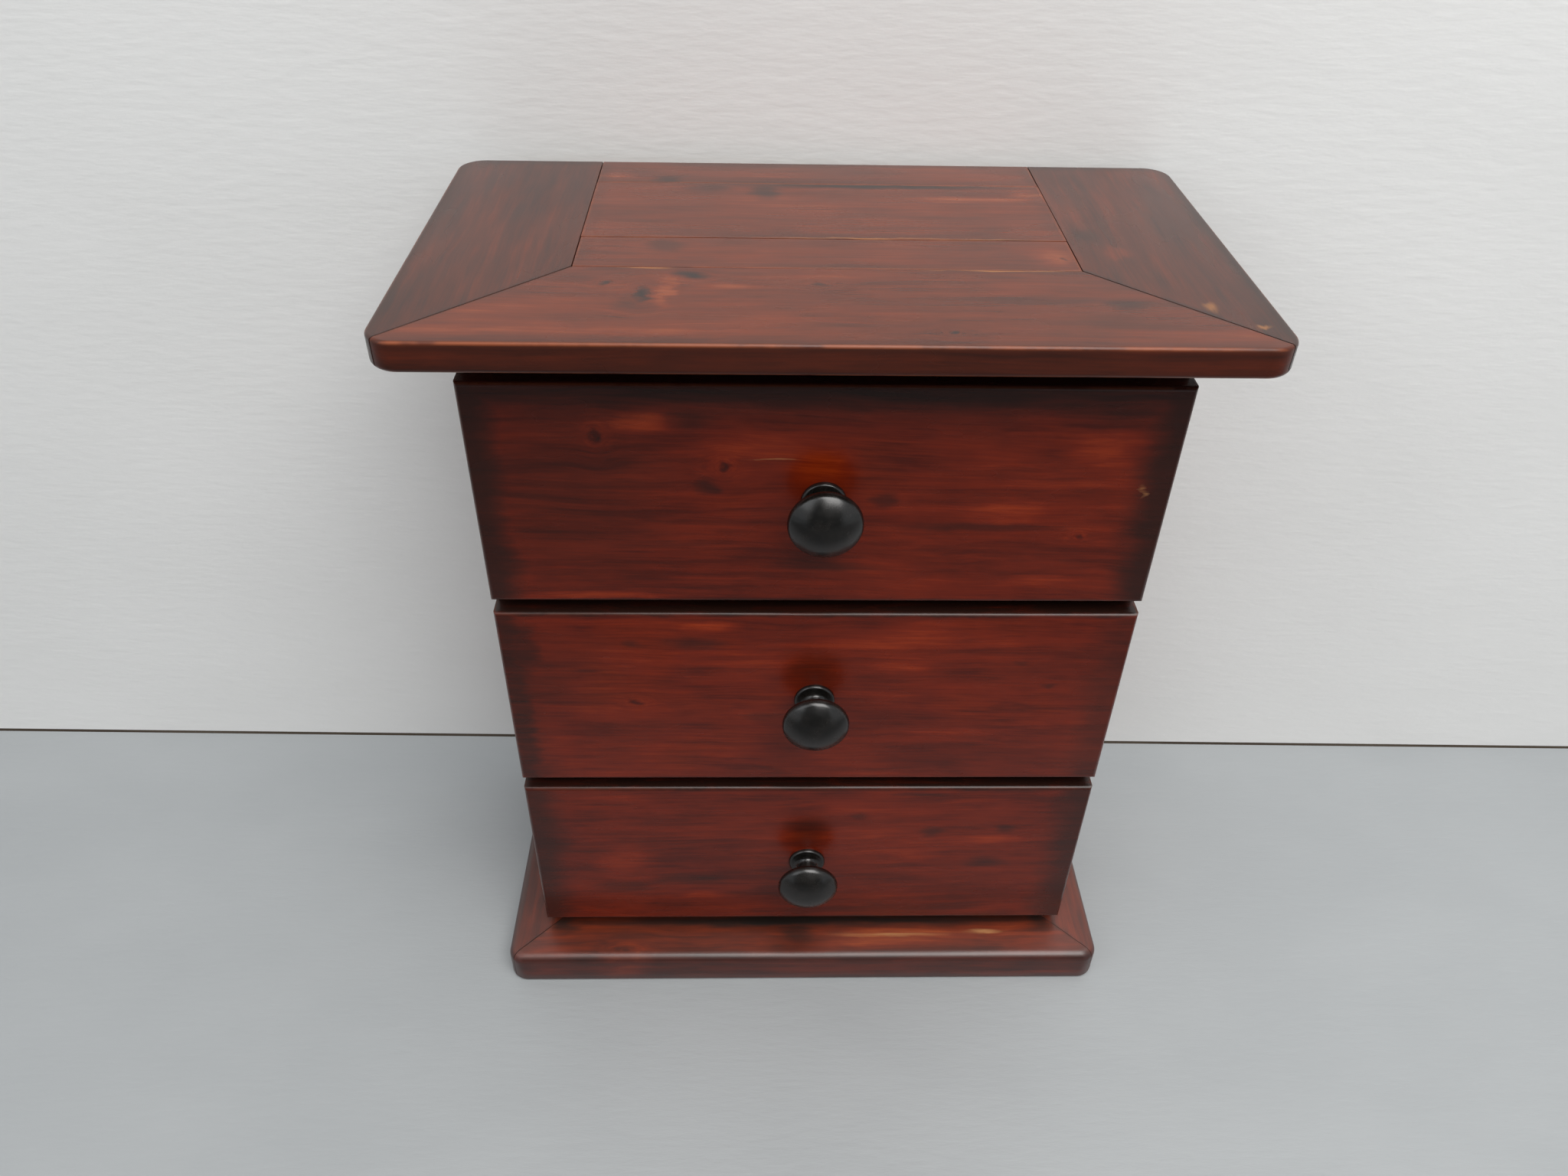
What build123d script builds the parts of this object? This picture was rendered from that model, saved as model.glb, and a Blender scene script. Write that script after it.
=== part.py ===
from build123d import *
import math
import os

# A small chest of three drawers for jewellery, in stained pine with turned metal knobs.
# Sizes are in millimetres. X runs left to right, Y front to back and Z up.
# The origin is the middle of the footprint, on the floor, and the drawers open towards -Y.

# Case and drawer fronts
case_width = 295.0
case_depth = 137.0
panel_thickness = 12.7
shelf_thickness = 12.7
housing_depth = 4.0
back_panel_thickness = 5.0
back_rabbet_width = 7.5
drawer_front_height = 110.0
drawer_front_thickness = 12.7
front_edge_radius = 2.2
front_gap = 7.0
under_top_gap = 21.0
apron_thickness = 12.7
apron_lap = 5.0

# Top, a mitred frame round two boards
top_thickness = 12.7
top_side_overhang = 21.5
top_front_overhang = 33.0
top_back_overhang = 8.0
top_rail_width = 67.0
top_narrow_board_width = 30.5
top_back_rail_width = 28.5
top_corner_radius = 12.0
top_upper_edge_radius = 1.5
top_lower_edge_radius = 2.5
board_seam = 0.3

# Base, a mitred frame that the case stands on
base_thickness = 20.0
base_side_projection = 20.0
base_front_projection = 22.0
base_back_projection = 8.0
base_rail_width = 50.0
base_corner_radius = 10.0
base_upper_edge_radius = 5.0
base_lower_edge_radius = 1.5

# Drawer boxes
box_board_thickness = 8.0
box_rabbet_depth = 4.0
box_edge_radius = 1.5
drawer_bottom_thickness = 4.0
drawer_bottom_height = 6.0
bottom_groove_depth = 4.0

# Clearances between the case and the drawers
closing_gap = 0.3
running_gap = 0.3
side_clearance = 0.8
headroom = 3.0
rear_clearance = 3.0

# Knob, turned to one profile, with heights measured from its back face
knob_projection = 26.0
knob_head_radius = 15.9
knob_dome_height = 8.8
knob_shoulder_radius = 4.0
knob_underside_radius = 2.4
knob_underside_slope = 15.0
knob_head_cove_radius = 4.0
knob_neck_radius = 4.6
knob_flange_cove_radius = 2.6
knob_flange_radius = 9.8
knob_flange_thickness = 2.2
knob_flange_edge_radius = 1.4
knob_thread_depth = 10.0

# Heights of the knobs above the lower edges of their drawer fronts
bottom_knob_height = 51.5
middle_knob_height = 56.5
top_knob_height = 55.0

# Knob screw, a machine screw from inside the drawer
knob_screw_radius = 2.0
knob_screw_clearance = 0.2
knob_screw_end_gap = 1.0
knob_screw_head_radius = 4.2
knob_screw_head_height = 2.4

# Wood screws, and pins of square wire
screw_shank_radius = 1.6
screw_head_radius = 3.3
screw_head_height = 2.2
screw_point_length = 2.5
screw_sink = 0.5
screw_bite = 8.0
case_screw_edge_distance = 24.0
front_screw_edge_distance = 55.0
pin_width = 1.2
pin_head_width = 2.2
pin_head_height = 0.6
pin_bite = 10.0
corner_pin_edge_distance = 22.0
back_pin_edge_distance = 18.0
back_pins_per_side = 5

# Places from front to back
top_depth = (top_front_overhang + drawer_front_thickness + closing_gap + case_depth
             + top_back_overhang)
top_front_y = -top_depth / 2
top_back_y = top_depth / 2
fronts_y = top_front_y + top_front_overhang
fronts_back_y = fronts_y + drawer_front_thickness
case_front_y = fronts_back_y + closing_gap
case_back_y = case_front_y + case_depth
shelf_back_y = case_back_y - back_panel_thickness
base_front_y = fronts_y - base_front_projection
base_back_y = case_back_y + base_back_projection

# Places from the middle outwards
case_half_width = case_width / 2
top_half_width = case_half_width + top_side_overhang
base_half_width = case_half_width + base_side_projection
inner_half_width = case_half_width - panel_thickness
housed_half_width = inner_half_width + housing_depth
back_half_width = inner_half_width + back_rabbet_width

# Heights
drawer_names = ("bottom", "middle", "top")
drawer_pitch = drawer_front_height + front_gap
fronts_top = base_thickness + len(drawer_names) * drawer_pitch
top_underside = fronts_top + under_top_gap
case_top_underside = top_underside - shelf_thickness
apron_underside = fronts_top - apron_lap

# Faces of the drawer boxes
box_half_width = inner_half_width - side_clearance
box_inside_x = box_half_width - box_board_thickness
box_joint_x = box_inside_x + box_rabbet_depth
box_groove_x = box_inside_x + bottom_groove_depth
box_front_inside_y = fronts_back_y + box_board_thickness
box_back_y = shelf_back_y - rear_clearance
box_back_inside_y = box_back_y - box_board_thickness


def block(x_range, y_range, z_range):
    """A box between the given limits along X, Y and Z."""
    (x0, x1), (y0, y1), (z0, z1) = x_range, y_range, z_range
    middle = Pos((x0 + x1) / 2, (y0 + y1) / 2, (z0 + z1) / 2)
    return middle * Box(x1 - x0, y1 - y0, z1 - z0)


def plan_prism(points, z_range):
    """An upright prism over a plan outline."""
    outline = make_face(Polyline(*points, close=True))
    return Pos(0, 0, z_range[0]) * extrude(outline, z_range[1] - z_range[0], dir=(0, 0, 1))


def around(middle, width):
    """The limits of a width about its middle."""
    return middle - width / 2, middle + width / 2


def rod_y(radius, x, y_range, z):
    """A round rod along Y."""
    length = y_range[1] - y_range[0]
    return Pos(x, sum(y_range) / 2, z) * Rot(90, 0, 0) * Cylinder(radius, length)


def both_sides(shape):
    """A shape on the right with its mirror image on the left, left one first."""
    return mirror(shape, about=Plane.YZ), shape


def drill(pieces, names, holes):
    """Cut the holes out of each named piece."""
    for name in names:
        for hole in holes:
            pieces[name] -= hole


def front_bottom(index):
    """Height of the lower edge of a drawer front, counted from the bottom drawer."""
    return base_thickness + front_gap + index * drawer_pitch


def front_middle(index):
    """Height of the middle of a drawer front."""
    return front_bottom(index) + drawer_front_height / 2


def knob_level(index):
    """Height of a knob's axis."""
    return front_bottom(index) + (bottom_knob_height, middle_knob_height, top_knob_height)[index]


def divider_levels(index):
    """Heights of the divider below a drawer, centred on the gap between two fronts."""
    middle = front_bottom(index) - front_gap / 2
    return middle - shelf_thickness / 2, middle + shelf_thickness / 2


def shelf_levels():
    """Heights of the boards that are housed in the side panels, from the floor up."""
    return {
        "case_bottom": (base_thickness, base_thickness + shelf_thickness),
        "lower_divider": divider_levels(1),
        "upper_divider": divider_levels(2),
        "case_top": (case_top_underside, top_underside),
    }


def compartment(index):
    """Floor and ceiling heights of the space that a drawer runs in."""
    shelves = list(shelf_levels().values())
    is_top = index == len(drawer_names) - 1
    ceiling = apron_underside if is_top else shelves[index + 1][0]
    return shelves[index][1], ceiling


def box_levels(index):
    """Heights of a drawer box's edges: all boxes are alike, and the lowest space sets them."""
    spaces = [compartment(number) for number in range(len(drawer_names))]
    height = min(ceiling - floor for floor, ceiling in spaces) - running_gap - headroom
    low = compartment(index)[0] + running_gap
    return low, low + height


def bottom_levels(index):
    """Heights of the faces of a drawer's bottom."""
    low = box_levels(index)[0] + drawer_bottom_height
    return low, low + drawer_bottom_thickness


def wood_screw(length):
    """A countersunk screw that points up, with its head's face at height zero."""
    profile = Polyline((0, 0), (screw_head_radius, 0), (screw_shank_radius, screw_head_height),
                       (screw_shank_radius, length - screw_point_length), (0, length), close=True)
    return revolve(make_face(Plane.XZ * profile), Axis.Z)


def driven_screws(places, board_thickness):
    """Screws through a board into the next one, and the sunk holes that they fill.

    Each place lies on the board's face, with its Z axis into the board.
    """
    screw = Pos(0, 0, screw_sink) * wood_screw(board_thickness - screw_sink + screw_bite)
    sink = Pos(0, 0, screw_sink / 2) * Cylinder(screw_head_radius, screw_sink)
    hole = screw + sink
    return [place * screw for place in places], [place * hole for place in places]


def eased_slab(half_width, y_range, z_range, corner_radius, upper_radius, lower_radius):
    """A slab with rounded corners and eased upper and lower edges."""
    outline = RectangleRounded(2 * half_width, y_range[1] - y_range[0], corner_radius)
    slab = Pos(0, sum(y_range) / 2, z_range[0]) * extrude(outline, z_range[1] - z_range[0])
    slab = fillet(slab.faces().sort_by(Axis.Z)[-1].edges(), upper_radius)
    return fillet(slab.faces().sort_by(Axis.Z)[0].edges(), lower_radius)


def mitred_rails(half_width, y_range, z_range, rail_width):
    """Prisms that part a mitred frame into its front, left and right rails.

    The front rail is mitred to the side rails, which run through to the back.
    Each prism stands past the outer edges, so that the slab keeps its own edges there.
    """
    front, back = y_range
    inner_x = half_width - rail_width
    inner_y = front + rail_width
    past = rail_width
    half_seam = board_seam / 2
    mitre_shift = half_seam * math.sqrt(2)
    front_inner_x = inner_x + half_seam - mitre_shift
    front_outer_x = half_width + past - mitre_shift
    front_rail = plan_prism([
        (-front_inner_x, inner_y - half_seam),
        (-front_outer_x, front - past),
        (front_outer_x, front - past),
        (front_inner_x, inner_y - half_seam),
    ], z_range)
    right_rail = plan_prism([
        (inner_x + half_seam, inner_y - half_seam + mitre_shift),
        (half_width + past, front - past + mitre_shift),
        (half_width + past, back + past),
        (inner_x + half_seam, back + past),
    ], z_range)
    return front_rail, *both_sides(right_rail)


def top_boards():
    """The top: mitred rails round a narrow and a wide board, with a strip along the back."""
    y_range = (top_front_y, top_back_y)
    z_range = (top_underside, top_underside + top_thickness)
    slab = eased_slab(top_half_width, y_range, z_range, top_corner_radius,
                      top_upper_edge_radius, top_lower_edge_radius)
    front_rail, left_rail, right_rail = mitred_rails(top_half_width, y_range, z_range,
                                                     top_rail_width)
    half_seam = board_seam / 2
    between_x = top_half_width - top_rail_width - half_seam
    narrow_front = top_front_y + top_rail_width
    wide_front = narrow_front + top_narrow_board_width
    strip_front = top_back_y - top_back_rail_width

    def board_between(y_start, y_end):
        return block((-between_x, between_x), (y_start, y_end), z_range)

    return {
        "top_front_rail": slab & front_rail,
        "top_left_rail": slab & left_rail,
        "top_right_rail": slab & right_rail,
        "top_narrow_board": slab & board_between(narrow_front + half_seam, wide_front - half_seam),
        "top_wide_board": slab & board_between(wide_front + half_seam, strip_front - half_seam),
        "top_back_rail": slab & board_between(strip_front + half_seam, top_back_y),
    }


def base_rails():
    """The base: mitred rails with rounded corners and upper edges, and a rail across the back."""
    y_range = (base_front_y, base_back_y)
    z_range = (0, base_thickness)
    slab = eased_slab(base_half_width, y_range, z_range, base_corner_radius,
                      base_upper_edge_radius, base_lower_edge_radius)
    front_rail, left_rail, right_rail = mitred_rails(base_half_width, y_range, z_range,
                                                     base_rail_width)
    between_x = base_half_width - base_rail_width - board_seam / 2
    back_rail = block((-between_x, between_x), (base_back_y - base_rail_width, base_back_y), z_range)
    return {
        "base_front_rail": slab & front_rail,
        "base_left_rail": slab & left_rail,
        "base_right_rail": slab & right_rail,
        "base_back_rail": slab & back_rail,
    }


def side_panels():
    """The left and right side panels, housed for the shelves and rabbeted for the back."""
    panel = block((inner_half_width, case_half_width), (case_front_y, case_back_y),
                  (base_thickness, top_underside))
    for levels in shelf_levels().values():
        panel -= block((inner_half_width, housed_half_width), (case_front_y, shelf_back_y), levels)
    panel -= block((inner_half_width, back_half_width), (shelf_back_y, case_back_y),
                   (base_thickness, top_underside))
    return both_sides(panel)


def case_boards():
    """The case: side panels, the boards housed between them, the apron and the back."""
    left_panel, right_panel = side_panels()
    boards = {
        "left_side_panel": left_panel,
        "right_side_panel": right_panel,
        "back_panel": block((-back_half_width, back_half_width), (shelf_back_y, case_back_y),
                            (base_thickness, top_underside)),
        "front_apron": block((-inner_half_width, inner_half_width),
                             (case_front_y, case_front_y + apron_thickness),
                             (apron_underside, case_top_underside)),
    }
    for name, levels in shelf_levels().items():
        boards[name] = block((-housed_half_width, housed_half_width),
                             (case_front_y, shelf_back_y), levels)
    return boards


def top_screw_places():
    """Places under the case top, for screws into the side rails and the wide board."""
    rail_inner_x = top_half_width - top_rail_width
    rail_x = (rail_inner_x + inner_half_width) / 2
    rail_ys = (case_front_y + case_screw_edge_distance, shelf_back_y - case_screw_edge_distance)
    board_front = top_front_y + top_rail_width + top_narrow_board_width
    board_y = (board_front + top_back_y - top_back_rail_width) / 2
    places = [(rail_x, y) for y in rail_ys] + [(rail_inner_x / 2, board_y)]
    return [Pos(side * x, y, case_top_underside) for side in (-1, 1) for x, y in places]


def base_screw_places():
    """Places under the base, for screws into the side panels and the case bottom."""
    panel_x = case_half_width - panel_thickness / 2
    panel_ys = (case_front_y + case_screw_edge_distance, case_back_y - case_screw_edge_distance)
    front_y = (case_front_y + base_front_y + base_rail_width) / 2
    back_y = (shelf_back_y + base_back_y - base_rail_width) / 2
    places = [(panel_x, y) for y in panel_ys]
    places += [(inner_half_width / 2, y) for y in (front_y, back_y)]
    return [Pos(side * x, y, 0) for side in (-1, 1) for x, y in places]


def back_pins():
    """Headed pins that hold the back panel in its rabbets, outside the housings."""
    x = (housed_half_width + back_half_width) / 2
    front_end = case_back_y - back_panel_thickness - pin_bite
    lowest = base_thickness + back_pin_edge_distance
    highest = top_underside - back_pin_edge_distance
    step = (highest - lowest) / (back_pins_per_side - 1)
    pins = []
    for number in range(back_pins_per_side):
        z = lowest + number * step
        shank = block(around(x, pin_width), (front_end, case_back_y), around(z, pin_width))
        head = block(around(x, pin_head_width), (case_back_y - pin_head_height, case_back_y),
                     around(z, pin_head_width))
        pins.extend(both_sides(shank + head))
    return pins


def fixed_body():
    """The top, the case and the base, with the screws and pins that hold them together."""
    top, base, case = top_boards(), base_rails(), case_boards()
    pieces = {**top, **base, **case}
    pieces["top_screws"], top_holes = driven_screws(top_screw_places(), shelf_thickness)
    pieces["base_screws"], base_holes = driven_screws(base_screw_places(), base_thickness)
    pieces["back_pins"] = back_pins()
    drill(pieces, [*top, "case_top"], top_holes)
    drill(pieces, [*base, "case_bottom", "left_side_panel", "right_side_panel"], base_holes)
    drill(pieces, ["back_panel", "left_side_panel", "right_side_panel"], pieces["back_pins"])
    return pieces


def drawer_front(index):
    """The board laid over the front edges of the case, with its front edges rounded."""
    low = front_bottom(index)
    board = block((-case_half_width, case_half_width), (fronts_y, fronts_back_y),
                  (low, low + drawer_front_height))
    return fillet(board.faces().sort_by(Axis.Y)[0].edges(), front_edge_radius)


def drawer_sides(index):
    """The sides of a box, rounded on top, rabbeted at the ends and grooved for the bottom."""
    low, high = box_levels(index)
    bottom_low, bottom_high = bottom_levels(index)
    side = block((box_inside_x, box_half_width), (fronts_back_y, box_back_y), (low, high))
    side = fillet(side.faces().sort_by(Axis.Z)[-1].edges().filter_by(Axis.Y), box_edge_radius)
    side -= block((box_inside_x, box_joint_x), (fronts_back_y, box_front_inside_y), (low, high))
    side -= block((box_inside_x, box_joint_x), (box_back_inside_y, box_back_y),
                  (bottom_high, high))
    side -= block((box_inside_x, box_groove_x), (box_front_inside_y, box_back_y),
                  (bottom_low, bottom_high))
    return both_sides(side)


def drawer_box(index):
    """The box behind a drawer front: its front, sides and back round a thin bottom.

    The bottom slides in from behind, under the back, into grooves in the sides and the front.
    """
    low, high = box_levels(index)
    bottom_low, bottom_high = bottom_levels(index)
    groove_front_y = box_front_inside_y - bottom_groove_depth
    left_side, right_side = drawer_sides(index)
    box_front = block((-box_joint_x, box_joint_x), (fronts_back_y, box_front_inside_y), (low, high))
    groove = block((-box_joint_x, box_joint_x), (groove_front_y, box_front_inside_y),
                   (bottom_low, bottom_high))
    return {
        "box_front": box_front - groove,
        "left_side": left_side,
        "right_side": right_side,
        "back": block((-box_joint_x, box_joint_x), (box_back_inside_y, box_back_y),
                      (bottom_high, high)),
        "bottom": block((-box_groove_x, box_groove_x), (groove_front_y, box_back_y),
                        (bottom_low, bottom_high)),
    }


def front_screw_places(index):
    """Places on the inside of the box's front, for screws into the drawer front."""
    x = box_inside_x - front_screw_edge_distance
    return [Pos(side * x, box_front_inside_y, front_middle(index)) * Rot(90, 0, 0)
            for side in (-1, 1)]


def corner_pins(index):
    """Headless pins through the sides into the ends of the box's front and back."""
    low, high = box_levels(index)
    inner_end = box_joint_x - pin_bite
    ys = ((fronts_back_y + box_front_inside_y) / 2, (box_back_inside_y + box_back_y) / 2)
    zs = (low + corner_pin_edge_distance, high - corner_pin_edge_distance)
    pins = []
    for y in ys:
        for z in zs:
            pin = block((inner_end, box_half_width), around(y, pin_width), around(z, pin_width))
            pins.extend(both_sides(pin))
    return pins


def knob_underside():
    """The corners of the line under a knob's head, between its cove and its rounded edge."""
    slope = math.radians(knob_underside_slope)
    rim_height = knob_projection - knob_dome_height
    outer_radius = knob_head_radius - knob_underside_radius * (1 - math.sin(slope))
    outer_height = rim_height - knob_underside_radius * math.cos(slope)
    inner_radius = knob_neck_radius + knob_head_cove_radius * (1 - math.sin(slope))
    inner_height = outer_height - math.tan(slope) * (outer_radius - inner_radius)
    return (inner_radius, -inner_height), (outer_radius, -outer_height)


def knob_shoulder():
    """Where the rounded shoulder of a knob's head runs smoothly into the dome.

    Both are arcs. The dome's centre lies on the axis and the shoulder's level with the rim.
    """
    reach = knob_head_radius - knob_shoulder_radius
    dome_radius = (reach ** 2 + knob_dome_height ** 2 - knob_shoulder_radius ** 2) / (
        2 * (knob_dome_height - knob_shoulder_radius))
    centre_height = knob_projection - dome_radius
    rim_height = knob_projection - knob_dome_height
    growth = dome_radius / (dome_radius - knob_shoulder_radius)
    return reach * growth, -(centre_height + (rim_height - centre_height) * growth)


def knob_profile():
    """Half the turned outline of a knob about the Y axis, with its head towards -Y.

    From the back face it runs over the flange, in to the neck along one cove, out under
    the head along another, and over the rounded rim and shoulder and the dome to the middle.
    """
    flange_side = (knob_flange_radius, knob_flange_edge_radius - knob_flange_thickness)
    flange_face = (knob_flange_radius - knob_flange_edge_radius, -knob_flange_thickness)
    flange_cove = (knob_neck_radius + knob_flange_cove_radius, -knob_flange_thickness)
    neck_back = (knob_neck_radius, -knob_flange_thickness - knob_flange_cove_radius)
    inner_underside, outer_underside = knob_underside()
    cove_height = knob_head_cove_radius * math.cos(math.radians(knob_underside_slope))
    neck_front = (knob_neck_radius, inner_underside[1] + cove_height)
    rim = (knob_head_radius, knob_dome_height - knob_projection)
    shoulder = knob_shoulder()
    apex = (0, -knob_projection)
    return [
        Polyline((0, 0), (knob_flange_radius, 0), flange_side),
        TangentArc(flange_side, flange_face, tangent=(0, -1)),
        Line(flange_face, flange_cove),
        TangentArc(neck_back, flange_cove, tangent=(0, 1)),
        Line(neck_back, neck_front),
        TangentArc(neck_front, inner_underside, tangent=(0, -1)),
        Line(inner_underside, outer_underside),
        TangentArc(rim, outer_underside, tangent=(0, 1)),
        TangentArc(rim, shoulder, tangent=(0, -1)),
        TangentArc(apex, shoulder, tangent=(1, 0)),
        Line(apex, (0, 0)),
    ]


def knob(index):
    """A turned knob in the middle of a drawer front's width, bored from behind for its screw."""
    body = revolve(make_face(Curve() + knob_profile()), Axis.Y)
    body -= rod_y(knob_screw_radius, 0, (-knob_thread_depth, 0), 0)
    return Pos(0, fronts_y, knob_level(index)) * body


def knob_screw(index):
    """The screw that holds a knob, with its head against the inside of the box's front."""
    z = knob_level(index)
    tip = fronts_y - knob_thread_depth + knob_screw_end_gap
    head_face = box_front_inside_y + knob_screw_head_height
    shank = rod_y(knob_screw_radius, 0, (tip, box_front_inside_y), z)
    return shank + rod_y(knob_screw_head_radius, 0, (box_front_inside_y, head_face), z)


def drawer(index):
    """One drawer: its front, its box, its knob and what holds them together."""
    pieces = {"front": drawer_front(index), **drawer_box(index)}
    pieces["knob"] = knob(index)
    pieces["knob_screw"] = knob_screw(index)
    pieces["front_screws"], screw_holes = driven_screws(front_screw_places(index),
                                                        box_board_thickness)
    pieces["corner_pins"] = corner_pins(index)
    knob_hole = rod_y(knob_screw_radius + knob_screw_clearance, 0,
                      (fronts_y, box_front_inside_y), knob_level(index))
    drill(pieces, ["front", "box_front"], [*screw_holes, knob_hole])
    drill(pieces, ["box_front", "left_side", "right_side", "back"], pieces["corner_pins"])
    return {f"{drawer_names[index]}_drawer_{name}": piece for name, piece in pieces.items()}


def chest():
    """Every piece of the chest, or group of like fasteners, by its name."""
    pieces = fixed_body()
    for index in range(len(drawer_names)):
        pieces.update(drawer(index))
    return pieces


os.makedirs("parts", exist_ok=True)
for name, shape in chest().items():
    group = shape if isinstance(shape, list) else [shape]
    export_step(Compound([solid for piece in group for solid in piece.solids()]),
                f"parts/{name}.step")
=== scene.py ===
import logging
import math
from dataclasses import asdict, dataclass, field
from enum import Enum
from typing import ClassVar

import bmesh
import bpy
from mathutils import Matrix, Vector


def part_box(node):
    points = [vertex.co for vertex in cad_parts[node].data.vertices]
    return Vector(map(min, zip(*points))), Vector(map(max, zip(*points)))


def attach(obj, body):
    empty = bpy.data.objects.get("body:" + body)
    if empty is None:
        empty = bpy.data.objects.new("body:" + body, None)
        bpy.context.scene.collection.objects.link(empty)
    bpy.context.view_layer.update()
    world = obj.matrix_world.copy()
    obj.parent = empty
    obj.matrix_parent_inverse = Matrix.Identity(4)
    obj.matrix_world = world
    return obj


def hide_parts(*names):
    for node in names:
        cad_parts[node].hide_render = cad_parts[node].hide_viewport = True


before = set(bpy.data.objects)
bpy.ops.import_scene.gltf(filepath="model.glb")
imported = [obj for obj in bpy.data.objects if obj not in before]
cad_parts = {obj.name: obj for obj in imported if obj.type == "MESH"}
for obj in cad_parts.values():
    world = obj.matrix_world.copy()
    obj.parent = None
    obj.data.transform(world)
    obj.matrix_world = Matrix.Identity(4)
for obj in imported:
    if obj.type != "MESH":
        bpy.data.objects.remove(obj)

logging.basicConfig(level=logging.INFO, format="%(name)s: %(message)s")
log = logging.getLogger("jewelry_chest")

MM = 0.001

Colour = tuple[float, float, float]
Point = tuple[float, float, float]
Stops = tuple[tuple[float, Colour], ...]
Pair = tuple[float, float]
Box = tuple[Vector, Vector]
Socket = bpy.types.NodeSocket


class Grain(Enum):
    """The direction in which the grain of a board runs, with the turn that brings it to X."""

    ALONG_X = (0.0, 0.0, 0.0)
    ALONG_Y = (0.0, 0.0, -math.pi / 2)
    ALONG_Z = (0.0, math.pi / 2, 0.0)

    @property
    def axis(self) -> int:
        """The number of the axis that the grain runs along."""
        return list(Grain).index(self)


class Face(Enum):
    """The face of a board that its marks are placed on, by the axes along and across it."""

    FRONT = (0, 2)
    TOP = (0, 1)


class Kind(Enum):
    """What a mark in a board is."""

    KNOT = "knot"
    # Dark smoky grime, and also painted shade and painted reflections: the shadow under the top,
    # the shade in the gaps and under the bottom drawer, and the knobs' reflections.
    SMOKE = "smoke"
    THIN = "thin stain"
    BARE = "bare wood"


class Drawer(Enum):
    """The three drawers, from the floor up."""

    BOTTOM = "bottom"
    MIDDLE = "middle"
    TOP = "top"

    @property
    def body(self) -> str:
        """The body that this drawer's pieces ride on."""
        return f"{self.value}_drawer"


@dataclass(frozen=True)
class Layer:
    """A layer of noise.

    Attributes:
        waves: Waves to the metre along each axis.
        detail: How many finer layers it holds.
        roughness: How strong the finer layers are.
    """

    waves: Point
    detail: float = 3.0
    roughness: float = 0.55


def even_layer(waves: float, detail: float = 3.0) -> Layer:
    """A layer of noise that is alike in every direction."""
    return Layer((waves, waves, waves), detail)


@dataclass(frozen=True)
class Relief:
    """How strongly a height shows on a surface, and its full depth in metres."""

    strength: float
    depth: float


class NodeSheet:
    """Adds nodes to a tree and joins them, one short call for each node."""

    def __init__(self, tree: bpy.types.NodeTree) -> None:
        """Start on an empty tree."""
        self.tree = tree
        self.tree.nodes.clear()

    def add(self, kind: str, inputs: dict | None = None, **settings: object) -> bpy.types.Node:
        """Add a node, set its properties and fill or join its inputs.

        Args:
            kind: Blender's name for the type of node.
            inputs: Values or output sockets by the input's name or number.
            settings: Properties of the node.

        Returns:
            The new node.
        """
        node = self.tree.nodes.new(kind)
        for key, value in settings.items():
            setattr(node, key, value)
        for key, value in (inputs or {}).items():
            self.feed(node.inputs[key], value)
        return node

    def feed(self, socket: Socket, value: object) -> None:
        """Join an output socket to an input, or write a plain value into it.

        Args:
            socket: The input.
            value: The output socket, number, vector, colour or other value.
        """
        if isinstance(value, Socket):
            self.tree.links.new(value, socket)
        elif socket.type == "RGBA":
            socket.default_value = (*value, 1.0)
        else:
            socket.default_value = value

    def math(self, operation: str, *values: object) -> Socket:
        """A Math node's result for up to three numbers or sockets."""
        return self.add("ShaderNodeMath", dict(enumerate(values)), operation=operation).outputs[0]

    def vector(self, operation: str, *values: object) -> Socket:
        """A Vector Math node's vector result."""
        node = self.add("ShaderNodeVectorMath", dict(enumerate(values)), operation=operation)
        return node.outputs["Vector"]


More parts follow.
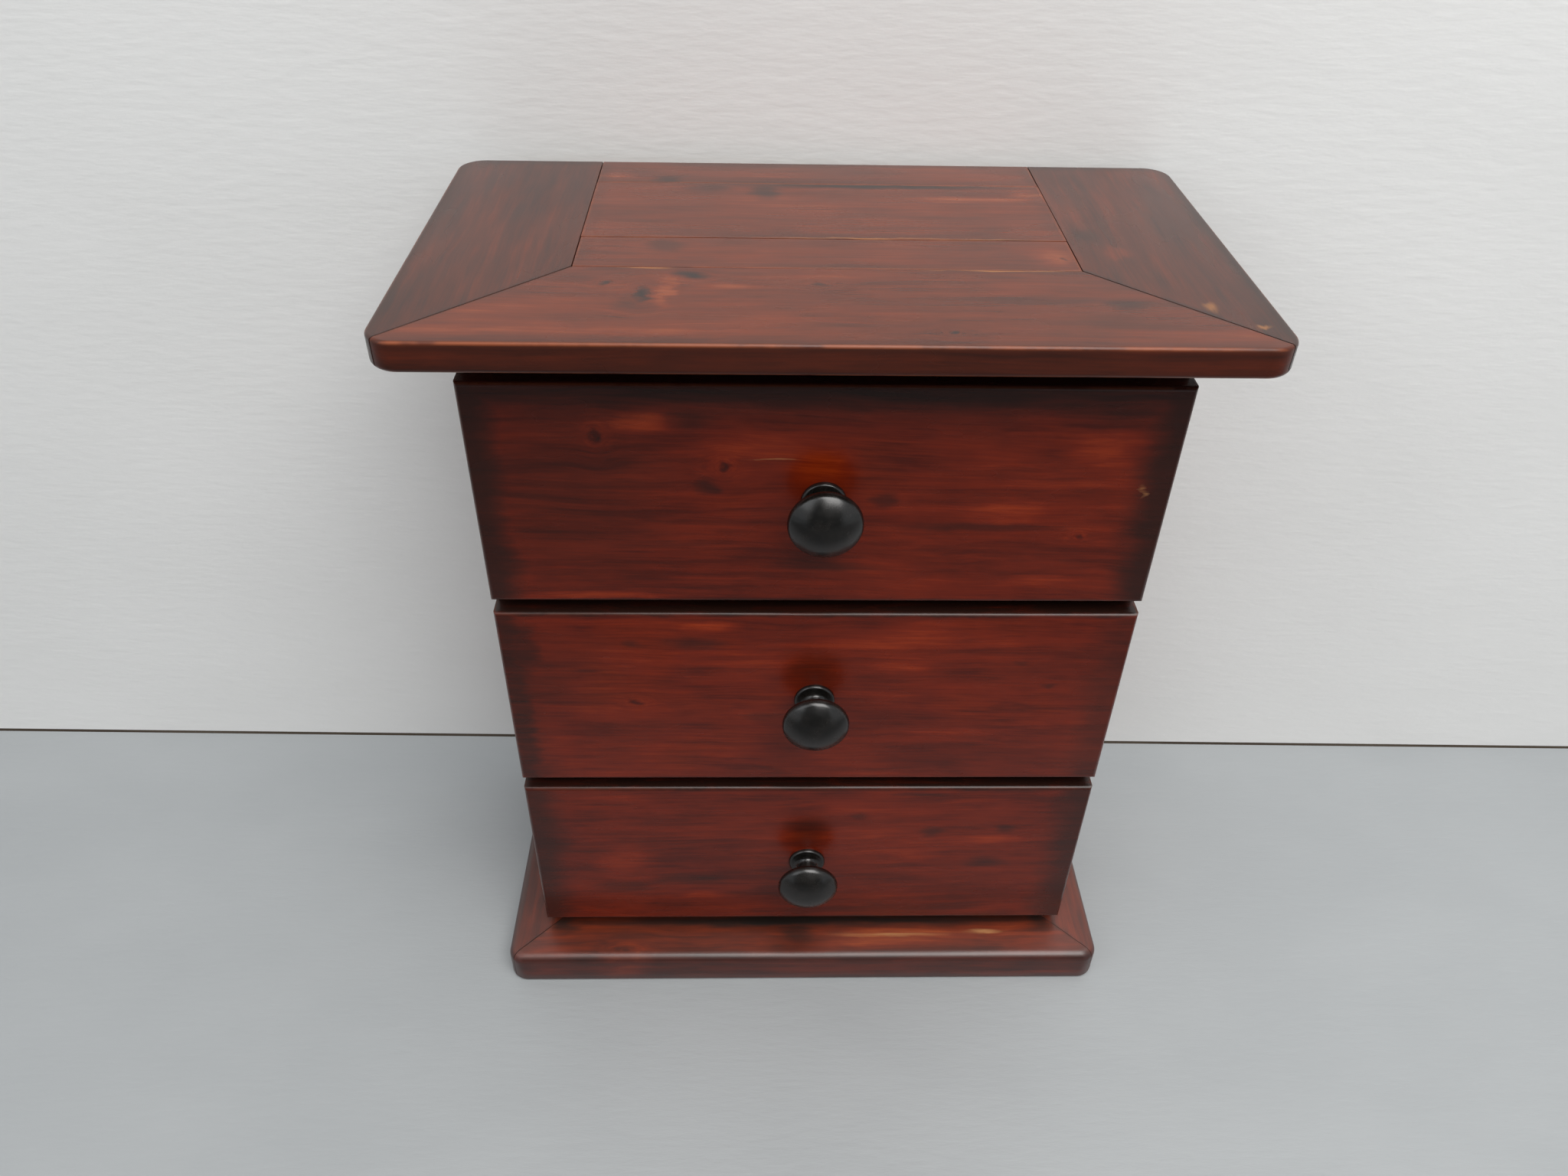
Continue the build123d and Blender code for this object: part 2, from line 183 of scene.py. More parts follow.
class ShaderSheet(NodeSheet):
    """A material's tree, with the steps that the finishes share."""

    def __init__(self, name: str) -> None:
        """Start an empty material.

        Args:
            name: The name of the material.
        """
        self.material = bpy.data.materials.new(name)
        self.material.use_nodes = True
        super().__init__(self.material.node_tree)

    def step(self, value: object, low: float, high: float) -> Socket:
        """A smooth step between two bounds.

        Args:
            value: What is compared with the bounds.
            low: Where the step gives 0.
            high: Where it gives 1, which may lie below the other bound.

        Returns:
            The socket of the step's value.
        """
        start, end, first, last = (low, high, 0.0, 1.0) if low < high else (high, low, 1.0, 0.0)
        node = self.add("ShaderNodeMapRange", {"Value": value, "From Min": start, "From Max": end,
                                               "To Min": first, "To Max": last},
                        interpolation_type="SMOOTHSTEP")
        return node.outputs["Result"]

    def mix(self, share: object, first: object, second: object, blend: str = "MIX") -> Socket:
        """A mix of two colours.

        Args:
            share: How much of the second colour shows, from 0 to 1.
            first: The colour or socket underneath.
            second: The colour or socket on top.
            blend: The way in which they mix.

        Returns:
            The socket of the mixed colour.
        """
        node = self.add("ShaderNodeMix", {0: share}, data_type="RGBA", blend_type=blend)
        self.feed(node.inputs[6], first)
        self.feed(node.inputs[7], second)
        return node.outputs[2]

    def noise_node(self, place: Socket, layer: Layer) -> bpy.types.Node:
        """A noise node.

        Args:
            place: Where the noise is read.
            layer: Its waves and its finer layers.

        Returns:
            The node, whose first output is a value about 0.5 in the mean and whose second is
            a colour.
        """
        return self.add("ShaderNodeTexNoise", {
            "Vector": self.vector("MULTIPLY", place, layer.waves), "Scale": 1.0,
            "Detail": layer.detail, "Roughness": layer.roughness,
        })

    def noise(self, place: Socket, layer: Layer) -> Socket:
        """A noise node's value."""
        return self.noise_node(place, layer).outputs[0]

    def swing(self, value: Socket, reach: float, rest: object = 0.0) -> Socket:
        """A noise value turned into a swing either way of a resting value."""
        return self.math("MULTIPLY_ADD", self.math("SUBTRACT", value, 0.5), reach, rest)

    def shaken(self, place: Socket, layer: Layer, reach: Point) -> Socket:
        """A place moved about by noise, by up to half a reach each way on each axis."""
        shift = self.vector("SUBTRACT", self.noise_node(place, layer).outputs[1], (0.5, 0.5, 0.5))
        return self.vector("MULTIPLY_ADD", shift, reach, place)

    def parts(self, place: Socket) -> bpy.types.bpy_prop_collection:
        """The three parts of a vector."""
        return self.add("ShaderNodeSeparateXYZ", {0: place}).outputs

    def length(self, offset: Socket) -> Socket:
        """The length of a vector."""
        return self.add("ShaderNodeVectorMath", {0: offset}, operation="LENGTH").outputs["Value"]

    def most(self, first: object, second: object) -> Socket:
        """The larger of two values."""
        return self.math("MAXIMUM", first, second)

    def object_place(self) -> Socket:
        """The place on the piece, in metres."""
        return self.add("ShaderNodeTexCoord").outputs["Object"]

    def ramp(self, value: Socket, stops: Stops) -> Socket:
        """A colour ramp.

        Args:
            value: The place on the ramp, from 0 to 1.
            stops: The places and colours that it runs through.

        Returns:
            The socket of the colour.
        """
        node = self.add("ShaderNodeValToRGB", {0: value})
        points = node.color_ramp.elements
        while len(points) < len(stops):
            points.new(1.0)
        for point, (place, colour) in zip(points, stops):
            point.position = place
            point.color = (*colour, 1.0)
        return node.outputs["Color"]

    def bump(self, height: Socket, relief: Relief, under: Socket | None = None) -> Socket:
        """Surface relief.

        Args:
            height: The height from 0 to 1.
            relief: How strongly it shows, and its full depth.
            under: Coarser relief that this one lies on.

        Returns:
            The socket of the bent normal.
        """
        inputs = {"Height": height, "Strength": relief.strength, "Distance": relief.depth}
        if under is not None:
            inputs["Normal"] = under
        return self.add("ShaderNodeBump", inputs).outputs["Normal"]

    def surface(self, inputs: dict) -> bpy.types.Material:
        """Close the tree with a Principled BSDF.

        Args:
            inputs: The shader's values and sockets by name.

        Returns:
            The finished material.
        """
        shader = self.add("ShaderNodeBsdfPrincipled", inputs)
        self.add("ShaderNodeOutputMaterial", {"Surface": shader.outputs[0]})
        return self.material


@dataclass(frozen=True)
class Mark:
    """One mark in the finish of a board.

    Attributes:
        kind: What it is.
        place: Its middle along and across the face, in millimetres from the board's origin.
        half_size: Its half sizes along and across the face, in millimetres.
        strength: How plain it is, from 0 to 1.
    """

    kind: Kind
    place: Pair
    half_size: Pair
    strength: float


def marks(kind: Kind, *rows: tuple[float, ...]) -> tuple[Mark, ...]:
    """Several marks of one kind.

    Args:
        kind: What they are.
        rows: For each its place along and across, its two half sizes and its strength.

    Returns:
        The marks.
    """
    return tuple(Mark(kind, row[:2], row[2:4], row[4]) for row in rows)


@dataclass(frozen=True)
class Board:
    """What the pattern of one board depends on.

    Attributes:
        grain: The direction of its grain.
        outline: The lowest and highest corner of the box whose edges are smoky, partly darkened
        with painted shade, and rubbed.
        seed: A number that shifts the pattern, so that no two boards are alike.
        marks: Its knots, patches and rubbed places.
        face: The face that the marks are placed on.
        tone: How much darker than usual it is.
        smoke: How strongly its edges are smoked; on the drawer fronts and the shelves seen in
            the gaps this darkening is partly painted shade.
        smoke_reach: How far the smoky darkening and the painted shade reach in from the edges
            along each axis.
        rub: How far its sharp edges are rubbed.
        side: How far its upright faces are painted darker than its top, from 0 to 1: painted shade.
        mitre: The place along the frame's diagonal of a mitred joint, if it has one.
        tilt: The angle by which the grain of an upright board runs down to the right.
    """

    grain: Grain
    outline: Box
    seed: float
    marks: tuple[Mark, ...] = ()
    face: Face = Face.TOP
    tone: float = 0.0
    smoke: float = 0.6
    smoke_reach: Point = (6.0 * MM, 6.0 * MM, 6.0 * MM)
    rub: float = 0.2
    side: float = 0.0
    mitre: float | None = None
    tilt: float = 0.0

    def on_face(self, pair: Pair, rest: float) -> Point:
        """Two sizes along and across the face as a size on each axis, in metres.

        Args:
            pair: The sizes in millimetres.
            rest: The size on the axis that the face looks along, in metres.

        Returns:
            The three sizes.
        """
        sizes = [rest, rest, rest]
        for axis, value in zip(self.face.value, pair):
            sizes[axis] = value * MM
        return tuple(sizes)

    def along_grain(self, along: float, across: float) -> Point:
        """One size along the grain and one across it, on the three axes.

        Args:
            along: The size along the grain.
            across: The size across it, both ways.

        Returns:
            The size on each axis.
        """
        sizes = [across, across, across]
        sizes[self.grain.axis] = along
        return tuple(sizes)


class BoardSheet(ShaderSheet):
    """The material tree of one board, with the steps that depend on the board."""

    through: float = 1.0

    def __init__(self, name: str, board: Board, ragged_waves: Pair, ragged_reach: Pair) -> None:
        """Start the tree and read the place on the piece, as it is and with ragged borders.

        Args:
            name: The name of the material.
            board: What the pattern depends on.
            ragged_waves: Waves to the metre along the grain and across it.
            ragged_reach: How far the borders are shaken along the grain and across it.
        """
        super().__init__(name)
        self.board = board
        self.place = self.object_place()
        self.ragged = self.shaken(self.place, self.grain_layer(ragged_waves),
                                  board.along_grain(*ragged_reach))

    def grain_layer(self, waves: Pair, detail: float = 3.0, roughness: float = 0.55) -> Layer:
        """A layer of noise with its waves along the grain and across it."""
        return Layer(self.board.along_grain(*waves), detail, roughness)

    def near(self, place: Socket, mark: Mark) -> tuple[Socket, Socket]:
        """How a place lies to a mark.

        Args:
            place: The place on the piece.
            mark: The mark.

        Returns:
            The offset from the mark's middle, and its length in the mark's half sizes.
        """
        middle = (self.board.outline[0] + self.board.outline[1]) / 2
        middle = middle + Vector(self.board.on_face(mark.place, 0.0))
        offset = self.vector("SUBTRACT", place, tuple(middle))
        half_size = self.board.on_face(mark.half_size, self.through)
        return offset, self.length(self.vector("DIVIDE", offset, half_size))

    def marks_of(self, kind: Kind, fade: Pair = (1.25, 0.2)) -> object:
        """How plainly the board's marks of one kind show, with ragged borders.

        Args:
            kind: The kind of mark.
            fade: Where a mark fades out and where it is at its full strength, in its half sizes.

        Returns:
            The strongest of them from 0 to 1, or 0 where the board has none.
        """
        strongest = 0.0
        for mark in (mark for mark in self.board.marks if mark.kind is kind):
            reach = self.near(self.ragged, mark)[1]
            shown = self.math("MULTIPLY", self.step(reach, *fade), mark.strength)
            strongest = self.most(strongest, shown)
        return strongest

    def edge_distance(self, reach: Point) -> Socket:
        """The distance over the surface to the nearest edge of the outline.

        It is the middle one of the distances to the outline's nearest faces on each axis,
        because the smallest is that to the face itself.

        Args:
            reach: What counts as 1 on each axis, in metres.

        Returns:
            The socket of the distance, in reaches.
        """
        from_low = self.vector("SUBTRACT", self.place, tuple(self.board.outline[0]))
        from_high = self.vector("SUBTRACT", tuple(self.board.outline[1]), self.place)
        nearest = self.vector("DIVIDE", self.vector("MINIMUM", from_low, from_high), reach)
        parts = self.parts(nearest)
        smaller = self.math("MINIMUM", parts[0], parts[1])
        larger = self.most(parts[0], parts[1])
        return self.most(smaller, self.math("MINIMUM", larger, parts[2]))

    def mitre_distance(self) -> Socket:
        """The distance to the frame's mitred joints, in metres along X or Y."""
        parts = self.parts(self.place)
        diagonal = self.math("ADD", self.math("ABSOLUTE", parts[0]), parts[1])
        return self.math("ABSOLUTE", self.math("SUBTRACT", diagonal, self.board.mitre))


@dataclass(frozen=True)
class StainedPine:
    """Pine under a red-brown stain and a glossy varnish, with smoked and rubbed edges and with
    painted shade and painted reflections laid on as dark tints.

    The tones run from the palest to the darkest. A share is how far its layer or its marks move
    the tone. A pair named fade or gap is where a smooth step starts and ends. Waves and reaches
    in pairs lie along the grain and across it.
    """

    tones: Stops = (
        (0.0, (0.320, 0.034, 0.004)),
        (0.32, (0.185, 0.0155, 0.0025)),
        (0.62, (0.092, 0.0085, 0.0025)),
        (1.0, (0.022, 0.007, 0.005)),
    )
    bare: Colour = (0.46, 0.20, 0.065)
    rubbed: Colour = (0.36, 0.085, 0.020)
    # One dark tint for the smoky grime and for the painted shade and painted reflections.
    smoke_tint: Colour = (0.022, 0.0085, 0.0060)
    # Tint and fade of the painted shade that darkens upright faces below the top face.
    side_stain: Colour = (0.50, 0.28, 0.24)
    side_fade: Pair = (0.6 * MM, 2.4 * MM)

    middle_tone: float = 0.44
    ring_share: float = 0.05
    streak_share: float = 0.50
    fibre_share: float = 0.42
    patch_share: float = 0.62
    zone_share: float = 0.50
    thin_share: float = -0.42
    knot_share: float = 0.75
    fibre: Layer = Layer((28.0, 1000.0, 1000.0), 2.0, 0.6)
    streak: Layer = Layer((12.0, 240.0, 240.0), 3.0, 0.6)
    patch: Layer = Layer((24.0, 85.0, 85.0), 4.0, 0.6)
    zone: Layer = Layer((8.0, 20.0, 20.0), 2.0, 0.5)

    ring_pitch: float = 4.6 * MM
    ring_rise: Pair = (0.25, 0.90)
    ring_fall: Pair = (0.92, 1.0)
    ring_drift: float = 0.020
    drift: Layer = Layer((2.2, 9.0, 9.0), 2.0)
    pith: Pair = (0.055, 0.034)
    seed_shift: Point = (1.7, 0.013, 0.009)
    bend: Layer = Layer((7.0, 22.0, 22.0))
    bend_reach: Point = (0.0, 0.011, 0.011)
    knot_fade: Pair = (1.35, 0.1)
    knot_decay: float = 0.7
    knot_pull: float = 0.95

    ragged_waves: Pair = (60.0, 190.0)
    ragged_reach: Pair = (16.0 * MM, 4.0 * MM)
    haze_waves: Pair = (28.0, 75.0)
    haze_detail: float = 4.0
    haze_roughness: float = 0.65
    haze_swing: float = 1.3
    smoke_fade: Pair = (1.50, 0.30)
    joint_fade: Pair = (3.2 * MM, 0.0)
    joint_swing: float = 8.0 * MM
    wear: Layer = even_layer(60.0)
    rub_fade: Pair = (1.5, 0.4)
    rub_gap: Pair = (0.28, 0.58)
    bare_gap: Pair = (0.40, 0.56)

    roughness: float = 0.27
    ior: float = 1.5
    sheen_waves: Pair = (12.0, 40.0)
    sheen_swing: float = 0.14
    worn_roughness: float = 0.22
    swell: Layer = Layer((7.0, 34.0, 34.0), 2.0)
    swell_relief: Relief = Relief(0.5, 0.30 * MM)
    grain_relief: Relief = Relief(0.18, 0.06 * MM)
    ring_relief: float = 0.08

    def flow(self, sheet: BoardSheet) -> Socket:
        """The place in the grain, which flows round the knots.

        Args:
            sheet: The board's tree.

        Returns:
            The socket of the place, with the grain brought to X.
        """
        board, flowing = sheet.board, sheet.place
        for mark in (mark for mark in board.marks if mark.kind is Kind.KNOT):
            offset, reach = sheet.near(sheet.place, mark)
            decay = sheet.math("EXPONENT", sheet.math("MULTIPLY", reach, -self.knot_decay))
            pull = sheet.math("MULTIPLY", decay, -self.knot_pull)
            pulls = sheet.add("ShaderNodeCombineXYZ", {0: pull, 1: pull, 2: pull}).outputs[0]
            across = sheet.vector("MULTIPLY", offset, board.along_grain(0.0, 1.0))
            flowing = sheet.vector("MULTIPLY_ADD", across, pulls, flowing)
        turn_x, turn_y, turn_z = board.grain.value
        turned = sheet.add("ShaderNodeMapping", {
            "Vector": flowing, "Rotation": (turn_x, turn_y - board.tilt, turn_z),
            "Location": tuple(board.seed * shift for shift in self.seed_shift),
        }).outputs["Vector"]
        return sheet.shaken(turned, self.bend, self.bend_reach)

    def late_wood(self, sheet: BoardSheet, turned: Socket) -> Socket:
        """The growth rings round a pith beside the board.

        Args:
            sheet: The board's tree.
            turned: The place in the grain.

        Returns:
            The socket of a value that is 1 in the dark late wood.
        """
        parts = sheet.parts(turned)
        across = sheet.math("ADD", parts[1], self.pith[0])
        deep = sheet.math("ADD", parts[2], self.pith[1])
        radius = sheet.math("SQRT", sheet.math("MULTIPLY_ADD", across, across,
                                               sheet.math("MULTIPLY", deep, deep)))
        drift = sheet.noise(turned, self.drift)
        radius = sheet.math("MULTIPLY_ADD", drift, self.ring_drift, radius)
        ring = sheet.math("FRACT", sheet.math("DIVIDE", radius, self.ring_pitch))
        return sheet.math("SUBTRACT", sheet.step(ring, *self.ring_rise),
                          sheet.step(ring, *self.ring_fall))

    def smoke(self, sheet: BoardSheet, streak: Socket) -> Socket:
        """The smoky darkening along the edges, in the joints and in patches.

        Part of it is painted shade under the top, in the gaps and under the bottom drawer,
        and painted reflections of the knobs.

        Args:
            sheet: The board's tree.
            streak: The streaks of the grain.

        Returns:
            The socket of the smoky darkening and painted shade, from 0 to 1.
        """
        board = sheet.board
        haze = sheet.noise(sheet.place, sheet.grain_layer(self.haze_waves, self.haze_detail,
                                                          self.haze_roughness))
        edge = sheet.edge_distance(board.smoke_reach)
        fading = sheet.step(sheet.swing(haze, self.haze_swing, edge), *self.smoke_fade)
        smoke = sheet.math("MULTIPLY", fading, board.smoke)
        if board.mitre is not None:
            uneven = sheet.swing(haze, self.joint_swing, sheet.mitre_distance())
            joint = sheet.step(uneven, *self.joint_fade)
            smoke = sheet.most(smoke, sheet.math("MULTIPLY", joint, board.smoke))
        # Marks of this kind are smoky grime, and also painted shade and painted knob reflections.
        patches = sheet.marks_of(Kind.SMOKE)
        return sheet.most(smoke, sheet.math("MULTIPLY", patches, sheet.swing(streak, 1.0, 1.0)))

    def stain(self, sheet: BoardSheet, turned: Socket, rings: Socket, streak: Socket,
              fibre: Socket) -> Socket:
        """The stained wood before the smoky darkening, the painted shade and the rubbing.

        Args:
            sheet: The board's tree.
            turned: The place in the grain.
            rings: The growth rings.
            streak: The streaks of the grain.
            fibre: Its fibres.

        Returns:
            The socket of the colour.
        """
        tone = sheet.math("MULTIPLY_ADD", rings, self.ring_share,
                          self.middle_tone + sheet.board.tone)
        for value, share in ((streak, self.streak_share), (fibre, self.fibre_share),
                             (sheet.noise(turned, self.patch), self.patch_share),
                             (sheet.noise(turned, self.zone), self.zone_share)):
            tone = sheet.swing(value, share, tone)
        tone = sheet.math("MULTIPLY_ADD", sheet.marks_of(Kind.THIN), self.thin_share, tone)
        heart = sheet.marks_of(Kind.KNOT, self.knot_fade)
        return sheet.ramp(sheet.math("MULTIPLY_ADD", heart, self.knot_share, tone), self.tones)

    def rub(self, sheet: BoardSheet) -> Socket:
        """How far the varnish along the edges is rubbed.

        Args:
            sheet: The board's tree.

        Returns:
            The socket of the rubbing, from 0 to 1.
        """
        edge = sheet.edge_distance((MM, MM, MM))
        worn = sheet.step(sheet.noise(sheet.place, self.wear), *self.rub_gap)
        rubbed = sheet.math("MULTIPLY", sheet.step(edge, *self.rub_fade), worn)
        return sheet.math("MULTIPLY", rubbed, sheet.board.rub)

    def material(self, name: str, board: Board) -> bpy.types.Material:
        """Build the finish of one board.

        Args:
            name: The name of the material.
            board: What the pattern depends on.

        Returns:
            The material.
        """
        sheet = BoardSheet(name, board, self.ragged_waves, self.ragged_reach)
        turned = self.flow(sheet)
        rings = self.late_wood(sheet, turned)
        streak, fibre = sheet.noise(turned, self.streak), sheet.noise(turned, self.fibre)
        rubbed = self.rub(sheet)
        bare = sheet.math("MULTIPLY", sheet.marks_of(Kind.BARE),
                          sheet.step(streak, *self.bare_gap))

        # Upright faces below the top face are darkened: painted shade.
        drop = sheet.math("SUBTRACT", board.outline[1].z, sheet.parts(sheet.place)[2])
        side = sheet.math("MULTIPLY", sheet.step(drop, *self.side_fade), board.side)
        colour = self.stain(sheet, turned, rings, streak, fibre)
        # The smoky darkening and the painted shade share one dark tint.
        colour = sheet.mix(self.smoke(sheet, streak), colour, self.smoke_tint)
        colour = sheet.mix(side, colour, self.side_stain, "MULTIPLY")
        colour = sheet.mix(rubbed, colour, self.rubbed)
        colour = sheet.mix(bare, colour, self.bare)

        sheen = sheet.noise(sheet.place, sheet.grain_layer(self.sheen_waves))
        rough = sheet.swing(sheen, self.sheen_swing, self.roughness)
        rough = sheet.math("MULTIPLY_ADD", sheet.most(bare, rubbed), self.worn_roughness, rough)
        fine = sheet.math("ADD", fibre, streak)
        grain = sheet.math("MULTIPLY_ADD", rings, self.ring_relief, fine)
        varnish = sheet.bump(sheet.noise(turned, self.swell), self.swell_relief)
        return sheet.surface({
            "Base Color": colour, "Roughness": rough, "IOR": self.ior,
            "Normal": sheet.bump(grain, self.grain_relief, varnish),
        })


@dataclass(frozen=True)
class TopPine(StainedPine):
    """The same pine on the top, where use has thinned the stain."""

    tones: Stops = (
        (0.0, (0.275, 0.066, 0.020)),
        (0.32, (0.158, 0.030, 0.010)),
        (0.62, (0.082, 0.020, 0.0095)),
        (1.0, (0.022, 0.012, 0.0095)),
    )
    smoke_tint: Colour = (0.020, 0.013, 0.010)
    fibre_share: float = 0.40
    patch_share: float = 0.50
    zone_share: float = 0.45
    roughness: float = 0.28
    ior: float = 1.46


@dataclass(frozen=True)
class BasePine(TopPine):
    """The same again under the thicker varnish of the base, which shines the most."""

    tones: Stops = (
        (0.0, (0.340, 0.066, 0.016)),
        (0.32, (0.195, 0.028, 0.008)),
        (0.62, (0.095, 0.017, 0.007)),
        (1.0, (0.022, 0.010, 0.008)),
    )
    streak_share: float = 0.80
    patch_share: float = 0.80
    roughness: float = 0.36
    ior: float = 1.75


@dataclass(frozen=True)
class PlainPine(StainedPine):
    """Sanded pine inside the drawers, with no stain: pale, matt and with soft rings."""

    tones: Stops = (
        (0.0, (0.66, 0.46, 0.27)),
        (0.35, (0.58, 0.38, 0.20)),
        (0.70, (0.44, 0.26, 0.12)),
        (1.0, (0.22, 0.11, 0.05)),
    )
    bare: Colour = (0.66, 0.47, 0.28)
    rubbed: Colour = (0.60, 0.42, 0.24)
    smoke_tint: Colour = (0.30, 0.19, 0.10)
    middle_tone: float = 0.26
    ring_share: float = 0.27
    fibre_share: float = 0.35
    patch_share: float = 0.3
    zone_share: float = 0.2
    roughness: float = 0.62


@dataclass(frozen=True)
class BronzedIron:
    """Cast metal with a dark brown-black patina, rubbed a little brighter in places."""

    dark: Colour = (0.0040, 0.0038, 0.0030)
    brown: Colour = (0.0080, 0.0066, 0.0050)
    rubbed: Colour = (0.030, 0.028, 0.025)
    patch: Layer = even_layer(150.0, 4.0)
    patch_edge: Pair = (0.40, 0.66)
    grit: Layer = even_layer(1500.0, 2.0)
    grit_edge: Pair = (0.54, 0.72)
    grit_share: float = 0.40
    grit_relief: Relief = Relief(0.20, 0.04 * MM)
    lump: Layer = even_layer(260.0, 2.0)
    lump_relief: Relief = Relief(0.30, 0.10 * MM)
    roughness: float = 0.25
    roughness_swing: float = 0.20
    ior: float = 1.72

    def material(self, name: str) -> bpy.types.Material:
        """Build the finish of the knobs.

        Args:
            name: The name of the material.

        Returns:
            The material.
        """
        sheet = ShaderSheet(name)
        place = sheet.object_place()
        patches = sheet.noise(place, self.patch)
        grit = sheet.noise(place, self.grit)
        colour = sheet.mix(sheet.step(patches, *self.patch_edge), self.dark, self.brown)
        worn = sheet.math("MULTIPLY", sheet.step(grit, *self.grit_edge), self.grit_share)
        colour = sheet.mix(worn, colour, self.rubbed)
        lumps = sheet.bump(sheet.noise(place, self.lump), self.lump_relief)
        return sheet.surface({
            "Base Color": colour, "IOR": self.ior,
            "Roughness": sheet.swing(patches, self.roughness_swing, self.roughness),
            "Normal": sheet.bump(grit, self.grit_relief, lumps),
        })


@dataclass(frozen=True)
class ZincSteel:
    """Zinc-plated steel of the screws and pins, dulled and spotted with age."""

    bright: Colour = (0.52, 0.51, 0.49)
    dull: Colour = (0.20, 0.17, 0.14)
    spot: Layer = even_layer(900.0, 4.0)
    spot_edge: Pair = (0.45, 0.68)
    spot_relief: Relief = Relief(0.2, 0.03 * MM)
    film: Layer = even_layer(200.0)
    roughness: float = 0.38
    roughness_swing: float = 0.35

    def material(self, name: str) -> bpy.types.Material:
        """Build the finish of the fasteners.

        Args:
            name: The name of the material.

        Returns:
            The material.
        """
        sheet = ShaderSheet(name)
        place = sheet.object_place()
        spots = sheet.noise(place, self.spot)
        colour = sheet.mix(sheet.step(spots, *self.spot_edge), self.bright, self.dull)
        film = sheet.noise(place, self.film)
        return sheet.surface({
            "Base Color": colour, "Metallic": 1.0,
            "Roughness": sheet.swing(film, self.roughness_swing, self.roughness),
            "Normal": sheet.bump(spots, self.spot_relief),
        })


@dataclass(frozen=True)
class Paint:
    """Plain paint on the stage, brushed, and mottled or fading from one colour to the other.

    Attributes:
        colour: Its main colour.
        shade: Its second colour.
        roughness: How matt it is.
        fade: Where it starts and ends to turn into its second colour along Y, if it isn't mottled.
    """

    colour: Colour
    shade: Colour
    roughness: float
    fade: Pair | None = None
    mottle: Layer = Layer((5.0, 9.0, 9.0), 4.0)
    mottle_edge: Pair = (0.3, 0.7)
    brush: Layer = Layer((70.0, 260.0, 260.0))
    brush_relief: Relief = Relief(0.5, 0.5 * MM)

    def material(self, name: str, one_sided: bool = False) -> bpy.types.Material:
        """Build the paint.

        Args:
            name: The name of the material.
            one_sided: Whether the back of the sheet is left clear, so that it hides nothing.

        Returns:
            The material.
        """
        sheet = ShaderSheet(name)
        place = sheet.object_place()
        if self.fade:
            shaded = sheet.step(sheet.parts(place)[1], *self.fade)
        else:
            shaded = sheet.step(sheet.noise(place, self.mottle), *self.mottle_edge)
        colour = sheet.mix(shaded, self.colour, self.shade)
        brushed = sheet.bump(sheet.noise(place, self.brush), self.brush_relief)
        material = sheet.surface({"Base Color": colour, "Roughness": self.roughness,
                                  "Normal": brushed})
        if one_sided:
            output = next(n for n in sheet.tree.nodes if n.type == "OUTPUT_MATERIAL")
            shader = next(n for n in sheet.tree.nodes if n.type == "BSDF_PRINCIPLED")
            behind = sheet.add("ShaderNodeNewGeometry").outputs["Backfacing"]
            clear = sheet.add("ShaderNodeBsdfTransparent").outputs[0]
            both = sheet.add("ShaderNodeMixShader", {0: behind, 1: shader.outputs[0], 2: clear})
            sheet.feed(output.inputs["Surface"], both.outputs[0])
        return material


def outline(*nodes: str) -> Box:
    """The box round some CAD nodes.

    Args:
        nodes: The CAD nodes.

    Returns:
        Its lowest and its highest corner.
    """
    boxes = [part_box(node) for node in nodes]
    low = Vector([min(box[0][axis] for box in boxes) for axis in range(3)])
    high = Vector([max(box[1][axis] for box in boxes) for axis in range(3)])
    return low, high


def welded(node: str, weld: float = 0.002 * MM) -> bmesh.types.BMesh:
    """A copy of a CAD node's mesh with its loose triangles joined.

    Args:
        node: The CAD node.
        weld: How close corners are that become one, in metres.

    Returns:
        The copy.
    """
    shell = bmesh.new()
    shell.from_mesh(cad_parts[node].data)
    bmesh.ops.remove_doubles(shell, verts=shell.verts, dist=weld)
    return shell


def solids_of(node: str) -> list[Box]:
    """The boxes of the separate solids of a CAD node.

    Args:
        node: The CAD node.

    Returns:
        The lowest and the highest corner of each, in a fixed order.
    """
    shell = welded(node)
    seen = set()
    boxes = []
    for start in shell.verts:
        if start in seen:
            continue
        seen.add(start)
        solid = [start]
        for vert in solid:
            fresh = [edge.other_vert(vert) for edge in vert.link_edges]
            fresh = [other for other in fresh if other not in seen]
            seen.update(fresh)
            solid.extend(dict.fromkeys(fresh))
        low = Vector([min(vert.co[axis] for vert in solid) for axis in range(3)])
        high = Vector([max(vert.co[axis] for vert in solid) for axis in range(3)])
        boxes.append((low, high))
    shell.free()
    return sorted(boxes, key=lambda box: tuple(box[0]))


def stand_for(node: str, body: str, mesh: bpy.types.Mesh,
              material: bpy.types.Material) -> bpy.types.Object:
    """Make the dressed piece that stands for a CAD node.

    Args:
        node: The CAD node.
        body: The body that it rides on.
        mesh: The shape of the piece.
        material: Its finish.

    Returns:
        The piece.
    """
    mesh.materials.clear()
    mesh.materials.append(material)
    piece = bpy.data.objects.new(f"{node}_dressed", mesh)
    bpy.context.scene.collection.objects.link(piece)
    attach(piece, body)
    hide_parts(node)
    log.info("%s stands for %s", piece.name, node)
    return piece


